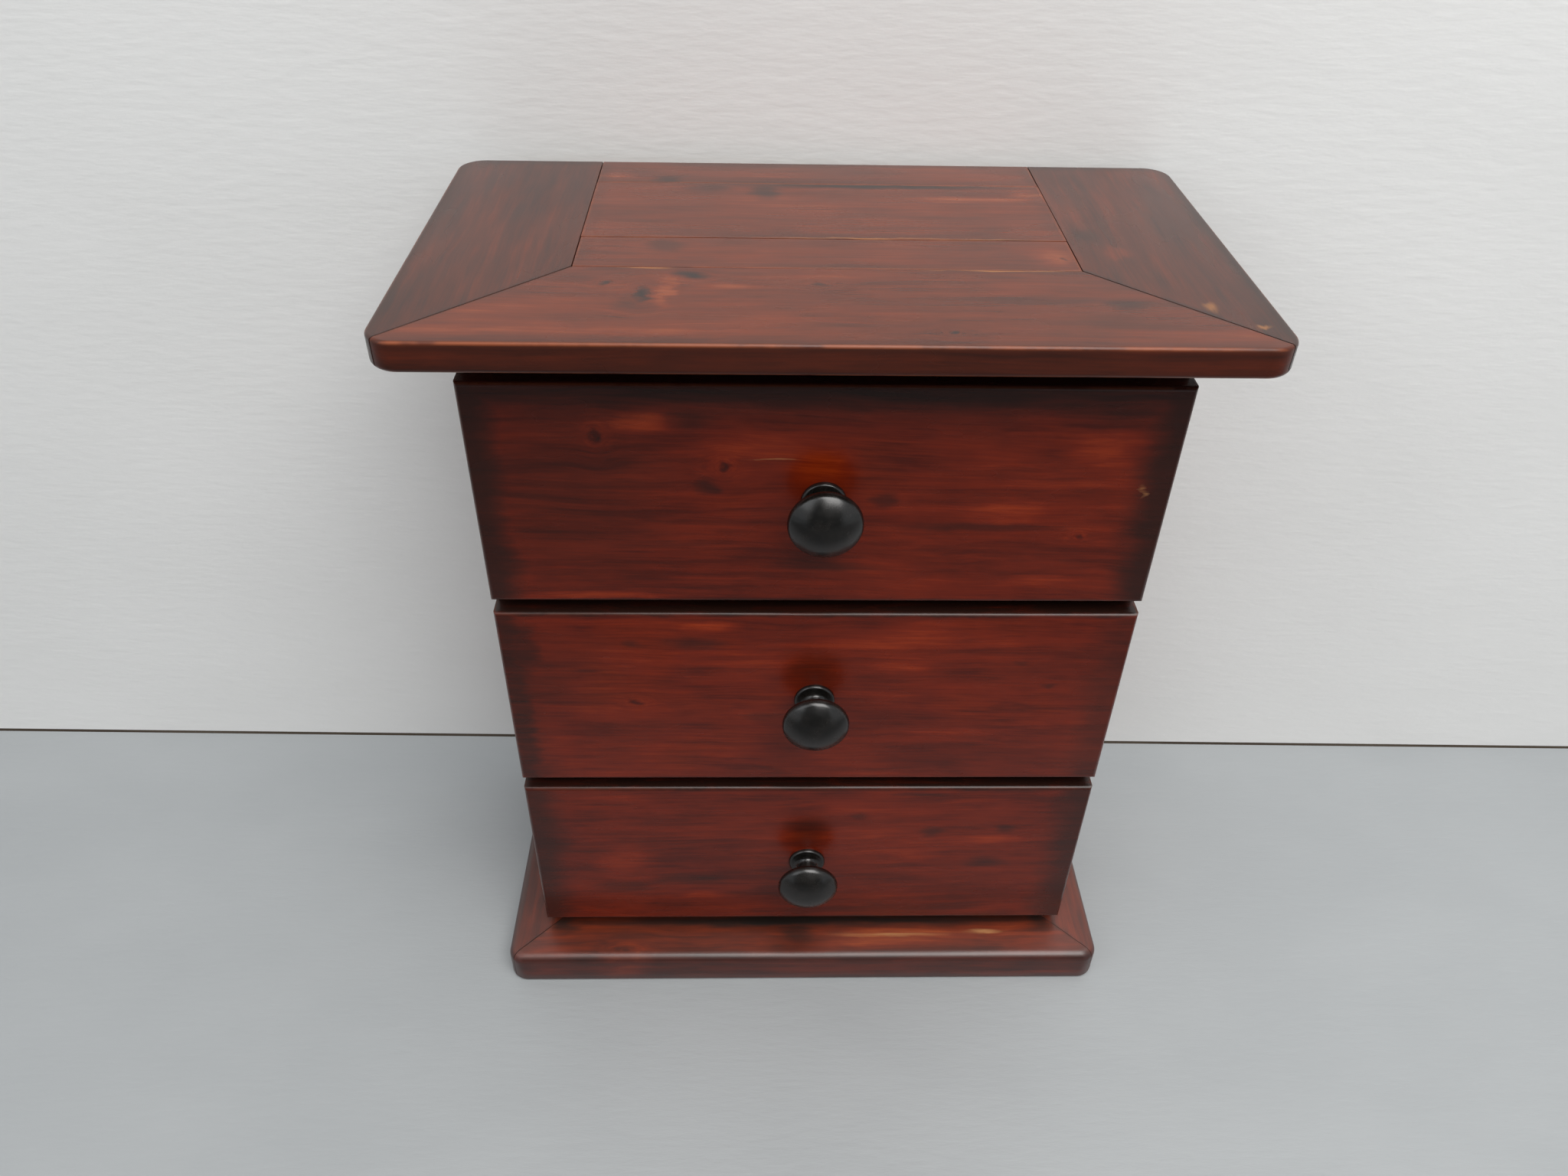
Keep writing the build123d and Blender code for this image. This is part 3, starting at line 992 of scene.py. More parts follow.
@dataclass
class Joiner:
    """Turns CAD nodes into dressed boards: welded, with eased arrises and smooth roundings."""

    ease: float = 0.35 * MM
    flat_angle: float = math.radians(0.3)
    sharp_angle: float = math.radians(32)
    segments: int = 2

    def dress(self, node: str, body: str, material: bpy.types.Material) -> bpy.types.Object:
        """Make the dressed board that stands for a CAD node.

        Args:
            node: The CAD node.
            body: The body that it rides on.
            material: Its finish.

        Returns:
            The dressed board.
        """
        mesh = bpy.data.meshes.new(f"{node}_dressed")
        shell = welded(node)
        bmesh.ops.dissolve_limit(shell, angle_limit=self.flat_angle, verts=shell.verts,
                                 edges=shell.edges)
        for face in shell.faces:
            face.smooth = True
            face.material_index = 0
        for edge in shell.edges:
            edge.smooth = len(edge.link_faces) == 2 and edge.calc_face_angle() < self.sharp_angle
        shell.to_mesh(mesh)
        shell.free()
        piece = stand_for(node, body, mesh, material)
        bevel = piece.modifiers.new("eased arrises", "BEVEL")
        bevel.width = self.ease
        bevel.segments = self.segments
        bevel.limit_method = "ANGLE"
        bevel.angle_limit = self.sharp_angle
        bevel.harden_normals = True
        return piece


class GeometrySheet(NodeSheet):
    """A Geometry Nodes tree that sets one shape at every place of a mesh of points."""

    cone_sides: int = 32
    sharp_angle: float = math.radians(30)

    def __init__(self, name: str, sizes: dict[str, float]) -> None:
        """Start a tree with a named input for each size.

        Args:
            name: The name of the tree.
            sizes: The sizes in millimetres by name.
        """
        super().__init__(bpy.data.node_groups.new(name, "GeometryNodeTree"))
        self.sizes = sizes
        self.named("Shape", "Geometry", "OUTPUT")
        self.named("Places", "Geometry")
        self.keys = {size: self.named(size, "Float") for size in sizes}
        self.finish_key = self.named("Finish", "Material")
        self.given = self.add("NodeGroupInput").outputs

    def named(self, name: str, kind: str, way: str = "INPUT") -> str:
        """Give the tree a named input or output.

        Args:
            name: Its name.
            kind: The type of what it carries.
            way: Which of the two it is.

        Returns:
            Its identifier.
        """
        socket = self.tree.interface.new_socket(name, in_out=way, socket_type=f"NodeSocket{kind}")
        return socket.identifier

    def cone(self, lift: object, low_radius: object, high_radius: object,
             height: object) -> Socket:
        """A closed cone along Z.

        Args:
            lift: The height of its foot.
            low_radius: Its radius at the foot.
            high_radius: Its radius at the upper end.
            height: Its height.

        Returns:
            The socket of the solid.
        """
        cone = self.add("GeometryNodeMeshCone", {
            "Vertices": self.cone_sides, "Radius Bottom": low_radius, "Radius Top": high_radius,
            "Depth": height,
        }).outputs["Mesh"]
        return self.moved(cone, lift)

    def bar(self, width: object, depth: object, length: object, lift: object) -> Socket:
        """A square-edged bar along Z.

        Args:
            width: Its size along X.
            depth: Its size along Y.
            length: Its size along Z.
            lift: The height of its middle.

        Returns:
            The socket of the solid.
        """
        size = self.add("ShaderNodeCombineXYZ", {0: width, 1: depth, 2: length}).outputs[0]
        return self.moved(self.add("GeometryNodeMeshCube", {"Size": size}).outputs["Mesh"], lift)

    def moved(self, shape: Socket, lift: object) -> Socket:
        """A shape lifted along Z."""
        place = self.add("ShaderNodeCombineXYZ", {2: lift}).outputs[0]
        inputs = {"Geometry": shape, "Translation": place}
        return self.add("GeometryNodeTransform", inputs).outputs[0]

    def merged(self, operation: str, shapes: tuple[Socket, ...], inputs: dict) -> Socket:
        """An exact boolean of several solids.

        Args:
            operation: Blender's name for it.
            shapes: The solids that are joined to its many-wired input.
            inputs: What its other input gets.

        Returns:
            The socket of the solid.
        """
        node = self.add("GeometryNodeMeshBoolean", inputs, operation=operation, solver="EXACT")
        for shape in shapes:
            self.tree.links.new(shape, node.inputs["Mesh 2"])
        return node.outputs["Mesh"]

    def joined(self, *shapes: Socket) -> Socket:
        """One solid made of several."""
        return self.merged("UNION", shapes, {})

    def cut(self, solid: Socket, *tools: Socket) -> Socket:
        """A solid with others cut out of it."""
        return self.merged("DIFFERENCE", tools, {"Mesh 1": solid})

    def close(self, shape: Socket, seed: int, turned: bool) -> None:
        """Set the shape at every place and end the tree.

        Args:
            shape: The shape in millimetres, with its face at the origin and its tip up.
            seed: The seed of the turns about its own axis.
            turned: Whether each copy is turned by its own angle.
        """
        into = self.add("GeometryNodeInputNamedAttribute", {"Name": "into"},
                        data_type="FLOAT_VECTOR").outputs["Attribute"]
        aimed = self.add("FunctionNodeAlignRotationToVector", {"Vector": into},
                         axis="Z").outputs[0]
        if turned:
            random = self.add("FunctionNodeRandomValue", {3: math.tau, 8: seed}, data_type="FLOAT")
            angles = self.add("ShaderNodeCombineXYZ", {2: random.outputs[1]}).outputs[0]
            turn = self.add("FunctionNodeEulerToRotation", {0: angles}).outputs[0]
            aimed = self.add("FunctionNodeRotateRotation", {"Rotation": aimed, "Rotate By": turn},
                             rotation_space="LOCAL").outputs[0]
        placed = self.add("GeometryNodeInstanceOnPoints", {
            "Points": self.given["Places"], "Instance": shape, "Rotation": aimed,
            "Scale": (MM, MM, MM),
        }).outputs[0]
        real = self.add("GeometryNodeRealizeInstances", {0: placed}).outputs[0]
        finished = self.add("GeometryNodeSetMaterial", {
            "Geometry": real, "Material": self.given["Finish"]}).outputs[0]
        self.add("NodeGroupOutput", {"Shape": finished})

    def run(self, places: list[tuple[Vector, Vector]],
            material: bpy.types.Material) -> bpy.types.Mesh:
        """Run the tree on some places and give the result as a plain mesh.

        Args:
            places: The middle of each fastener's face, and the direction into the wood.
            material: The finish.

        Returns:
            The mesh.
        """
        points = bpy.data.meshes.new(self.tree.name)
        points.from_pydata([tuple(place) for place, _ in places], [], [])
        into = points.attributes.new("into", "FLOAT_VECTOR", "POINT")
        for number, (_, direction) in enumerate(places):
            into.data[number].vector = direction
        holder = bpy.data.objects.new(self.tree.name, points)
        bpy.context.scene.collection.objects.link(holder)
        modifier = holder.modifiers.new(self.tree.name, "NODES")
        modifier.node_group = self.tree
        for size, key in self.keys.items():
            modifier[key] = self.sizes[size]
        modifier[self.finish_key] = material
        evaluated = holder.evaluated_get(bpy.context.evaluated_depsgraph_get())
        mesh = bpy.data.meshes.new_from_object(evaluated)
        holder.modifiers.remove(modifier)
        bpy.data.objects.remove(holder)
        mesh.shade_smooth()
        mesh.set_sharp_from_angle(angle=self.sharp_angle)
        return mesh


@dataclass
class Fastener:
    """One kind of screw or pin, set wherever a CAD node has a solid.

    Sizes are in millimetres, from the face of the head to the tip.
    """

    seed: ClassVar[int] = 5
    turned: ClassVar[bool] = False

    def sizes(self, length: float) -> dict[str, float]:
        """The tree's named sizes for a fastener of a length."""
        named = {key.replace("_", " ").title(): size for key, size in asdict(self).items()}
        return {**named, "Length": length}

    def shape(self, sheet: GeometrySheet) -> Socket:
        """The fastener's solid."""
        raise NotImplementedError

    def direction(self, box: Box) -> Vector:
        """The way into the wood of one solid.

        It runs along the longest side: up, to the front or, across the chest, to its middle.

        Args:
            box: The lowest and the highest corner of the solid.

        Returns:
            The direction, of length 1.
        """
        extent = box[1] - box[0]
        axis = max(range(3), key=lambda number: extent[number])
        across = -1.0 if box[0].x + box[1].x > 0 else 1.0
        return Vector(((across, 0.0, 0.0), (0.0, -1.0, 0.0), (0.0, 0.0, 1.0))[axis])

    def build(self, node: str, body: str, material: bpy.types.Material) -> bpy.types.Object:
        """Set the fasteners that stand for a CAD node.

        Args:
            node: The CAD node.
            body: The body that they ride on.
            material: Their finish.

        Returns:
            The piece.
        """
        places = []
        for box in solids_of(node):
            into = self.direction(box)
            middle = (box[0] + box[1]) / 2
            half_length = abs((box[1] - box[0]).dot(into)) / 2
            places.append((middle - into * half_length, into))
        sheet = GeometrySheet(f"{node}_tree", self.sizes(2 * half_length / MM))
        sheet.close(self.shape(sheet), self.seed, self.turned)
        return stand_for(node, body, sheet.run(places, material), material)


@dataclass
class Screw(Fastener):
    """A screw with a cross recess: countersunk, or with a raised head if the head widens."""

    turned: ClassVar[bool] = True
    neck_share: ClassVar[float] = 0.6

    face_radius: float = 3.3
    head_radius: float = 1.65
    head_height: float = 2.2
    shank_radius: float = 1.6
    tip_radius: float = 0.1
    tip_length: float = 2.5
    recess_width: float = 0.75
    recess_length: float = 3.4
    recess_depth: float = 1.3

    def shape(self, sheet: GeometrySheet) -> Socket:
        """The head, the shank and the tip, with the recess cut into the face.

        Args:
            sheet: The screw's tree.

        Returns:
            The socket of the solid.
        """
        given = sheet.given
        tip_start = sheet.math("SUBTRACT", given["Length"], given["Tip Length"])
        neck = sheet.math("MULTIPLY", given["Head Height"], self.neck_share)
        head = sheet.cone(0.0, given["Face Radius"], given["Head Radius"], given["Head Height"])
        shank = sheet.cone(neck, given["Shank Radius"], given["Shank Radius"],
                           sheet.math("SUBTRACT", tip_start, neck))
        tip = sheet.cone(tip_start, given["Shank Radius"], given["Tip Radius"],
                         given["Tip Length"])
        deep = sheet.math("MULTIPLY", given["Recess Depth"], 2.0)
        wings = [sheet.bar(given["Recess Width"], given["Recess Length"], deep, 0.0),
                 sheet.bar(given["Recess Length"], given["Recess Width"], deep, 0.0)]
        return sheet.cut(sheet.joined(head, shank, tip), *wings)


@dataclass
class Pin(Fastener):
    """A pin of square wire, with a flat head where it has one."""

    width: float = 1.2
    head_width: float = 2.2
    head_height: float = 0.6

    def shape(self, sheet: GeometrySheet) -> Socket:
        """The shank with its head.

        Args:
            sheet: The pin's tree.

        Returns:
            The socket of the solid.
        """
        given = sheet.given
        shank = sheet.bar(given["Width"], given["Width"], given["Length"],
                          sheet.math("DIVIDE", given["Length"], 2.0))
        head = sheet.bar(given["Head Width"], given["Head Width"], given["Head Height"],
                         sheet.math("DIVIDE", given["Head Height"], 2.0))
        return sheet.joined(shank, head)


@dataclass
class TurnedKnob:
    """A mushroom knob, turned to one profile. Sizes are in millimetres from its back face."""

    projection: float = 26.0
    head_radius: float = 15.9
    dome_height: float = 8.8
    shoulder_radius: float = 4.0
    underside_radius: float = 2.4
    underside_slope: float = math.radians(15.0)
    head_cove_radius: float = 4.0
    neck_radius: float = 4.6
    flange_cove_radius: float = 2.6
    flange_radius: float = 9.8
    flange_thickness: float = 2.2
    flange_edge_radius: float = 1.4
    bore_radius: float = 2.0
    bore_depth: float = 10.0
    arc_step: float = math.radians(6.0)
    sides: int = 96
    sharp_angle: float = math.radians(40)

    def arc(self, middle: Pair, radius: float, start: float, end: float) -> list[Pair]:
        """Points on an arc.

        Args:
            middle: Its centre, as a distance from the axis and a height.
            radius: Its radius.
            start: The angle that it starts at.
            end: The angle that it ends at.

        Returns:
            The points from start to end.
        """
        steps = max(2, round(abs(end - start) / self.arc_step))
        angles = [start + (end - start) * step / steps for step in range(steps + 1)]
        return [(middle[0] + radius * math.cos(angle), middle[1] + radius * math.sin(angle))
                for angle in angles]

    def profile(self) -> list[Pair]:
        """Half the turned outline.

        Returns:
            Points from the end of the bore round to the top of the dome, each as a distance
            from the axis and a height.
        """
        quarter = math.pi / 2
        rim_height = self.projection - self.dome_height
        edge = (self.flange_radius - self.flange_edge_radius,
                self.flange_thickness - self.flange_edge_radius)
        cove = (self.neck_radius + self.flange_cove_radius,
                self.flange_thickness + self.flange_cove_radius)
        rim = (self.head_radius - self.underside_radius, rim_height)
        outer_underside = self.arc(rim, self.underside_radius, self.underside_slope - quarter, 0.0)
        head_cove_x = self.neck_radius + self.head_cove_radius
        under_run = outer_underside[0][0] - head_cove_x + self.head_cove_radius * math.sin(
            self.underside_slope)
        under_height = outer_underside[0][1] - math.tan(self.underside_slope) * under_run
        head_cove = (head_cove_x, under_height - self.head_cove_radius * math.cos(
            self.underside_slope))
        reach = self.head_radius - self.shoulder_radius
        dome_radius = (reach ** 2 + self.dome_height ** 2 - self.shoulder_radius ** 2) / (
            2 * (self.dome_height - self.shoulder_radius))
        dome_middle = self.projection - dome_radius
        turn = math.atan2(rim_height - dome_middle, reach)
        return [
            (0.0, self.bore_depth), (self.bore_radius, self.bore_depth), (self.bore_radius, 0.0),
            (self.flange_radius, 0.0),
            *self.arc(edge, self.flange_edge_radius, 0.0, quarter),
            *self.arc(cove, self.flange_cove_radius, -quarter, -2 * quarter),
            *self.arc(head_cove, self.head_cove_radius, 2 * quarter,
                      quarter + self.underside_slope),
            *outer_underside,
            *self.arc((reach, rim_height), self.shoulder_radius, 0.0, turn)[1:],
            *self.arc((0.0, dome_middle), dome_radius, turn, quarter)[1:-1],
            (0.0, self.projection),
        ]

    def build(self, node: str, body: str, material: bpy.types.Material) -> bpy.types.Object:
        """Turn the knob that stands for a CAD node.

        Args:
            node: The CAD node.
            body: The body that it rides on.
            material: Its finish.

        Returns:
            The piece.
        """
        low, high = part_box(node)
        middle = (low + high) / 2
        shell = bmesh.new()
        rings = []
        around = [math.tau * n / self.sides for n in range(self.sides)]
        for radius, height in self.profile():
            angles = [0.0] if radius == 0.0 else around
            rings.append([shell.verts.new((middle.x + radius * MM * math.cos(angle),
                                           high.y - height * MM,
                                           middle.z + radius * MM * math.sin(angle)))
                          for angle in angles])
        for ring, following in zip(rings, rings[1:]):
            for n in range(self.sides):
                corners = [ring[n % len(ring)], ring[(n + 1) % len(ring)],
                           following[(n + 1) % len(following)], following[n % len(following)]]
                shell.faces.new(list(dict.fromkeys(corners)))
        bmesh.ops.recalc_face_normals(shell, faces=shell.faces)
        mesh = bpy.data.meshes.new(f"{node}_dressed")
        shell.to_mesh(mesh)
        shell.free()
        mesh.shade_smooth()
        mesh.set_sharp_from_angle(angle=self.sharp_angle)
        return stand_for(node, body, mesh, material)


@dataclass
class Top:
    """The top: three mitred rails, a narrow and a wide board, and a strip along the back."""

    finish: StainedPine = TopPine()
    joiner: Joiner = field(default_factory=Joiner)
    front_marks: tuple[Mark, ...] = (
        *marks(Kind.KNOT, (-54, -36, 7, 4.5, 0.75), (-72, -54, 3, 7, 0.70),
               (-88, -44, 3, 2.4, 0.55), (-4, -44, 2.4, 2, 0.60), (42, -84, 2.5, 1.6, 0.70)),
        *marks(Kind.THIN, (-64, -52, 4, 17, 0.65), (-40, -46, 15, 2.5, 0.60),
               (-84, -85, 96, 3, 0.45), (-115, -66, 30, 10, 0.35)),
        *marks(Kind.SMOKE, (-76, -62, 8, 9, 0.35), (76, -56, 46, 4.5, 0.50),
               (112, -59, 11, 5, 0.65)),
        *marks(Kind.BARE, (-75, -29, 15, 0.9, 0.55), (72, -29, 34, 0.9, 0.60),
               (150, -84, 5, 2, 0.45)),
    )
    right_marks: tuple[Mark, ...] = (
        *marks(Kind.SMOKE, (112, 8, 7, 9, 0.50)),
        *marks(Kind.THIN, (120, -10, 7, 8, 0.60)),
        *marks(Kind.BARE, (144, -61, 3, 5, 0.42), (157, -77, 5, 2.5, 0.50)),
    )
    wide_marks: tuple[Mark, ...] = (
        *marks(Kind.SMOKE, (-50, 26.5, 11, 7, 0.60), (-25, 22.5, 8, 12, 0.70),
               (30, 30.5, 72, 4.0, 1.0), (0, 32.5, 130, 2, 0.80)),
        *marks(Kind.THIN, (72, 14.5, 34, 4.5, 0.65), (94, 22.5, 10, 6, 0.60)),
        *marks(Kind.BARE, (37, -31.6, 66, 0.9, 0.50), (-80, -31.6, 22, 0.8, 0.45)),
    )
    narrow_marks: tuple[Mark, ...] = (
        *marks(Kind.KNOT, (96, -3.8, 1.7, 1.5, 0.75)),
        *marks(Kind.THIN, (94, -2.8, 12, 11, 0.60)),
        *marks(Kind.SMOKE, (-66, 7, 10, 8, 0.55)),
    )
    back_marks: tuple[Mark, ...] = (
        *marks(Kind.SMOKE, (-70, -10.5, 10, 6, 0.75), (-20, -12, 12, 3, 0.45)),
        *marks(Kind.THIN, (-94, -5.5, 11, 5, 0.60)),
    )

    def build(self) -> None:
        """Dress the six boards."""
        edges = outline("top_left_rail", "top_right_rail", "top_front_rail")
        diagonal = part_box("top_right_rail")[0].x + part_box("top_front_rail")[1].y
        # side paints the upright faces darker: painted shade.
        boards = {
            "top_front_rail": Board(Grain.ALONG_X, edges, 1.0, self.front_marks, mitre=diagonal,
                                    smoke=0.35, rub=0.60, side=0.60),
            "top_left_rail": Board(Grain.ALONG_Y, edges, 2.3, mitre=diagonal, smoke=0.50, rub=0.4,
                                   tone=0.20, side=0.75),
            "top_right_rail": Board(Grain.ALONG_Y, edges, 3.9, self.right_marks, mitre=diagonal,
                                    smoke=0.60, rub=0.5, tone=0.20, side=0.75),
            "top_narrow_board": Board(Grain.ALONG_X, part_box("top_narrow_board"), 5.1,
                                      self.narrow_marks, smoke=0.20, tone=-0.02),
            "top_wide_board": Board(Grain.ALONG_X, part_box("top_wide_board"), 6.4, self.wide_marks,
                                    smoke=0.20),
            "top_back_rail": Board(Grain.ALONG_X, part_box("top_back_rail"), 7.7, self.back_marks,
                                   smoke=0.30, side=0.6),
        }
        for node, board in boards.items():
            self.joiner.dress(node, "case", self.finish.material(f"{node}_stain", board))


@dataclass
class Case:
    """The case: side panels, shelves, apron and back."""

    finish: StainedPine = StainedPine()
    inner_finish: PlainPine = PlainPine()
    joiner: Joiner = field(default_factory=Joiner)
    smoke_reach: Point = (10.0 * MM, 12.0 * MM, 14.0 * MM)
    panel_seeds: Pair = (11.0, 13.7)
    shelf_seeds: tuple[float, ...] = (15.0, 16.9, 18.8, 20.7, 22.6)
    back_seed: float = 27.0

    def build(self) -> None:
        """Dress the panels and the boards between them."""
        for seed, node in zip(self.panel_seeds, ("left_side_panel", "right_side_panel")):
            board = Board(Grain.ALONG_Z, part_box(node), seed, rub=0.4, tone=0.05,
                          smoke_reach=self.smoke_reach)
            self.joiner.dress(node, "case", self.finish.material(f"{node}_stain", board))
        # The shelves and the apron show only in the gaps between the drawers; their dark tone and
        # strong smoky darkening are painted shade.
        shelves = ("case_bottom", "lower_divider", "upper_divider", "case_top", "front_apron")
        for seed, node in zip(self.shelf_seeds, shelves):
            board = Board(Grain.ALONG_X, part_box(node), seed, smoke=0.85, rub=0.1, tone=0.62,
                          smoke_reach=self.smoke_reach)
            self.joiner.dress(node, "case", self.finish.material(f"{node}_stain", board))
        back = Board(Grain.ALONG_Z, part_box("back_panel"), self.back_seed, smoke=0.35, rub=0.1,
                     smoke_reach=self.smoke_reach)
        self.joiner.dress("back_panel", "case", self.inner_finish.material("back_board", back))


@dataclass
class Base:
    """The base: mitred rails with a rounded upper edge, and a rail across the back."""

    finish: StainedPine = BasePine()
    joiner: Joiner = field(default_factory=Joiner)
    smoke_reach: Point = (14.0 * MM, 5.0 * MM, 5.0 * MM)
    front_marks: tuple[Mark, ...] = (
        *marks(Kind.KNOT, (-101, -84, 6, 3, 0.60)),
        *marks(Kind.THIN, (-101, -88, 16, 9, 0.80), (60, -76, 80, 6, 0.50)),
        # The long dark mark and the two at its ends are painted shade on the base's top under the
        # bottom drawer's front; the one in front of the middle is a painted reflection of the knob.
        *marks(Kind.SMOKE, (0, -65.0, 155, 4.6, 1.0), (-4, -72.0, 12, 7, 0.70),
               (-138, -66.0, 10, 8, 0.85), (138, -66.0, 10, 8, 0.85)),
        *marks(Kind.BARE, (50, -74, 34, 2.4, 1.0), (104, -73, 13, 1.6, 0.9)),
    )

    def build(self) -> None:
        """Dress the four rails."""
        edges = outline("base_left_rail", "base_right_rail", "base_front_rail")
        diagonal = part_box("base_right_rail")[0].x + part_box("base_front_rail")[1].y
        # side paints the upright faces darker: painted shade.
        boards = {
            "base_front_rail": Board(Grain.ALONG_X, edges, 31.0, self.front_marks, mitre=diagonal,
                                     smoke=0.50, tone=0.02, smoke_reach=self.smoke_reach,
                                     side=0.70),
            "base_left_rail": Board(Grain.ALONG_Y, edges, 33.0, mitre=diagonal, smoke=0.50,
                                    rub=0.3, tone=0.10, side=0.70),
            "base_right_rail": Board(Grain.ALONG_Y, edges, 35.0, mitre=diagonal, smoke=0.35,
                                     rub=0.3, tone=0.04, side=0.70),
            "base_back_rail": Board(Grain.ALONG_X, edges, 37.0, smoke=0.40, rub=0.3, tone=0.1,
                                    side=0.6),
        }
        for node, board in boards.items():
            self.joiner.dress(node, "case", self.finish.material(f"{node}_stain", board))


# On the top drawer's front, the wide first dark mark is painted shadow under the top's overhang,
# and the two dark marks just under the knob are partly painted shadow of the knob.
TOP_FRONT_MARKS = (
    *marks(Kind.SMOKE, (0, 54, 700, 14, 0.85), (-112, 4, 54, 60, 0.42), (-104, 46, 50, 14, 0.45),
           (0, 46, 27, 9, 0.45), (-56, 42, 12, 9, 0.55), (118, 47, 42, 11, 0.55),
           (68, -13, 48, 2.6, 0.55), (4, -35, 28, 2.8, 0.60), (-3, -32, 19, 7, 0.45),
           (-84, -23, 52, 3, 0.35), (-49, 7, 6, 5, 0.65), (26, 1, 7, 5, 0.60)),
    *marks(Kind.KNOT, (-94, 31, 2.4, 4, 0.50), (-42, 17, 3, 4, 0.42), (111, -18, 2, 1.5, 0.50)),
    *marks(Kind.THIN, (-76, 38, 15, 5, 0.80), (115, 26, 18, 9, 0.70), (78, -6, 22, 8, 0.55),
           (100, -42, 22, 4, 0.60), (-30, 25, 32, 9, 0.50), (-98, -51, 34, 2.5, 0.70),
           (0, 16, 17, 12, 0.60)),
    *marks(Kind.BARE, (136, 6, 1.8, 3.6, 0.45), (-20, 20.6, 11, 0.5, 0.40)),
)
# On the middle drawer's front, the first dark mark is painted shade on its top face in the gap, and
# the one just above the knob is a painted reflection of the knob.
MIDDLE_FRONT_MARKS = (
    *marks(Kind.SMOKE, (0, 55.5, 900, 2.4, 1.0), (-143, 0, 10, 400, 0.75), (-136, 34, 9, 21, 0.70),
           (-118, 16, 36, 34, 0.32), (0, 20, 14, 15, 0.45), (-56, 37, 17, 5, 0.60),
           (-87, 37, 7, 3, 0.45), (-108, 20, 17, 2.2, 0.50), (-26, -10, 11, 4, 0.40),
           (143, -50, 14, 6, 0.65), (114, 10, 4, 2.2, 0.50), (98, 25, 4, 2.2, 0.40)),
    *marks(Kind.KNOT, (-86, 0, 4, 2.6, 0.60)),
    *marks(Kind.THIN, (-50, 47, 17, 4, 0.75), (37, 22, 18, 3.5, 0.55), (-100, -4, 32, 10, 0.35),
           (40, 38, 60, 10, 0.35)),
)
# On the bottom drawer's front, the first dark mark is painted shade on its top face in the gap, and
# the one just above the knob is a painted reflection of the knob.
BOTTOM_FRONT_MARKS = (
    *marks(Kind.SMOKE, (0, 55.5, 900, 2.4, 1.0), (0, 22, 13, 16, 0.55), (58, 50, 19, 2, 0.60),
           (67, 20, 8, 4.5, 0.60), (106, 23, 7, 4, 0.55), (98, -5, 14, 5.5, 0.60),
           (-64, -19, 24, 6, 0.55), (-103, -26, 22, 5, 0.40), (27, 33, 5, 3, 0.45)),
    *marks(Kind.THIN, (-99, -3, 18, 18, 0.55), (-58, -33, 15, 4, 0.65), (60, 1, 15, 4, 0.55),
           (100, 14, 15, 5, 0.45)),
)


@dataclass
class DrawerUnit:
    """One drawer: its stained front, its plain box, its knob and its fasteners."""

    drawer: Drawer
    seed: float
    marks: tuple[Mark, ...]
    tilt: float = 0.0
    # The front's smoky darkening reaches 2 mm in Z, so its top face seen in the gap is darkened
    # too: partly painted shade.
    smoke: float = 0.88
    finish: StainedPine = StainedPine()
    inner_finish: PlainPine = PlainPine()
    joiner: Joiner = field(default_factory=Joiner)
    smoke_reach: Point = (16.0 * MM, 12.7 * MM, 2.0 * MM)
    box_seed_shift: float = 3.1

    def node(self, piece: str) -> str:
        """The CAD node of one of the drawer's pieces."""
        return f"{self.drawer.body}_{piece}"

    def build(self, bronze: bpy.types.Material, steel: bpy.types.Material) -> None:
        """Dress the drawer.

        Args:
            bronze: The finish of the knob.
            steel: The finish of the screws and pins.
        """
        body = self.drawer.body
        front = self.node("front")
        board = Board(Grain.ALONG_X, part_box(front), self.seed, self.marks, Face.FRONT,
                      smoke=self.smoke, smoke_reach=self.smoke_reach, rub=0.15, tilt=self.tilt)
        self.joiner.dress(front, body, self.finish.material(f"{front}_stain", board))
        grains = {"box_front": Grain.ALONG_X, "back": Grain.ALONG_X, "bottom": Grain.ALONG_X,
                  "left_side": Grain.ALONG_Y, "right_side": Grain.ALONG_Y}
        for number, (piece, grain) in enumerate(grains.items()):
            node = self.node(piece)
            seed = self.seed + self.box_seed_shift + number
            board = Board(grain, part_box(node), seed, smoke=0.3)
            self.joiner.dress(node, body, self.inner_finish.material(f"{node}_pine", board))
        TurnedKnob().build(self.node("knob"), body, bronze)
        machine_screw = Screw(face_radius=3.5, head_radius=4.2, head_height=2.4, shank_radius=2.0,
                              tip_radius=1.6, tip_length=0.5)
        machine_screw.build(self.node("knob_screw"), body, steel)
        Screw().build(self.node("front_screws"), body, steel)
        Pin(head_width=1.2).build(self.node("corner_pins"), body, steel)


@dataclass(frozen=True)
class Lamp:
    """A soft oblong lamp.

    Attributes:
        name: Its name.
        place: Where it hangs.
        target: The point that it faces.
        size: Its width and its depth in metres.
        power: Its power in watts.
        colour: Its tint.
    """

    name: str
    place: Point
    target: Point
    size: Pair
    power: float
    colour: Colour = (1.0, 1.0, 1.0)

    def hang(self) -> None:
        """Hang the lamp and turn it to its target."""
        light = bpy.data.lights.new(self.name, "AREA")
        light.shape = "RECTANGLE"
        light.size, light.size_y = self.size
        light.energy = self.power
        light.color = self.colour
        lamp = bpy.data.objects.new(self.name, light)
        lamp.location = self.place
        lamp.rotation_mode = "QUATERNION"
        aim = Vector(self.target) - Vector(self.place)
        lamp.rotation_quaternion = aim.to_track_quat("-Z", "Y")
        bpy.context.scene.collection.objects.link(lamp)


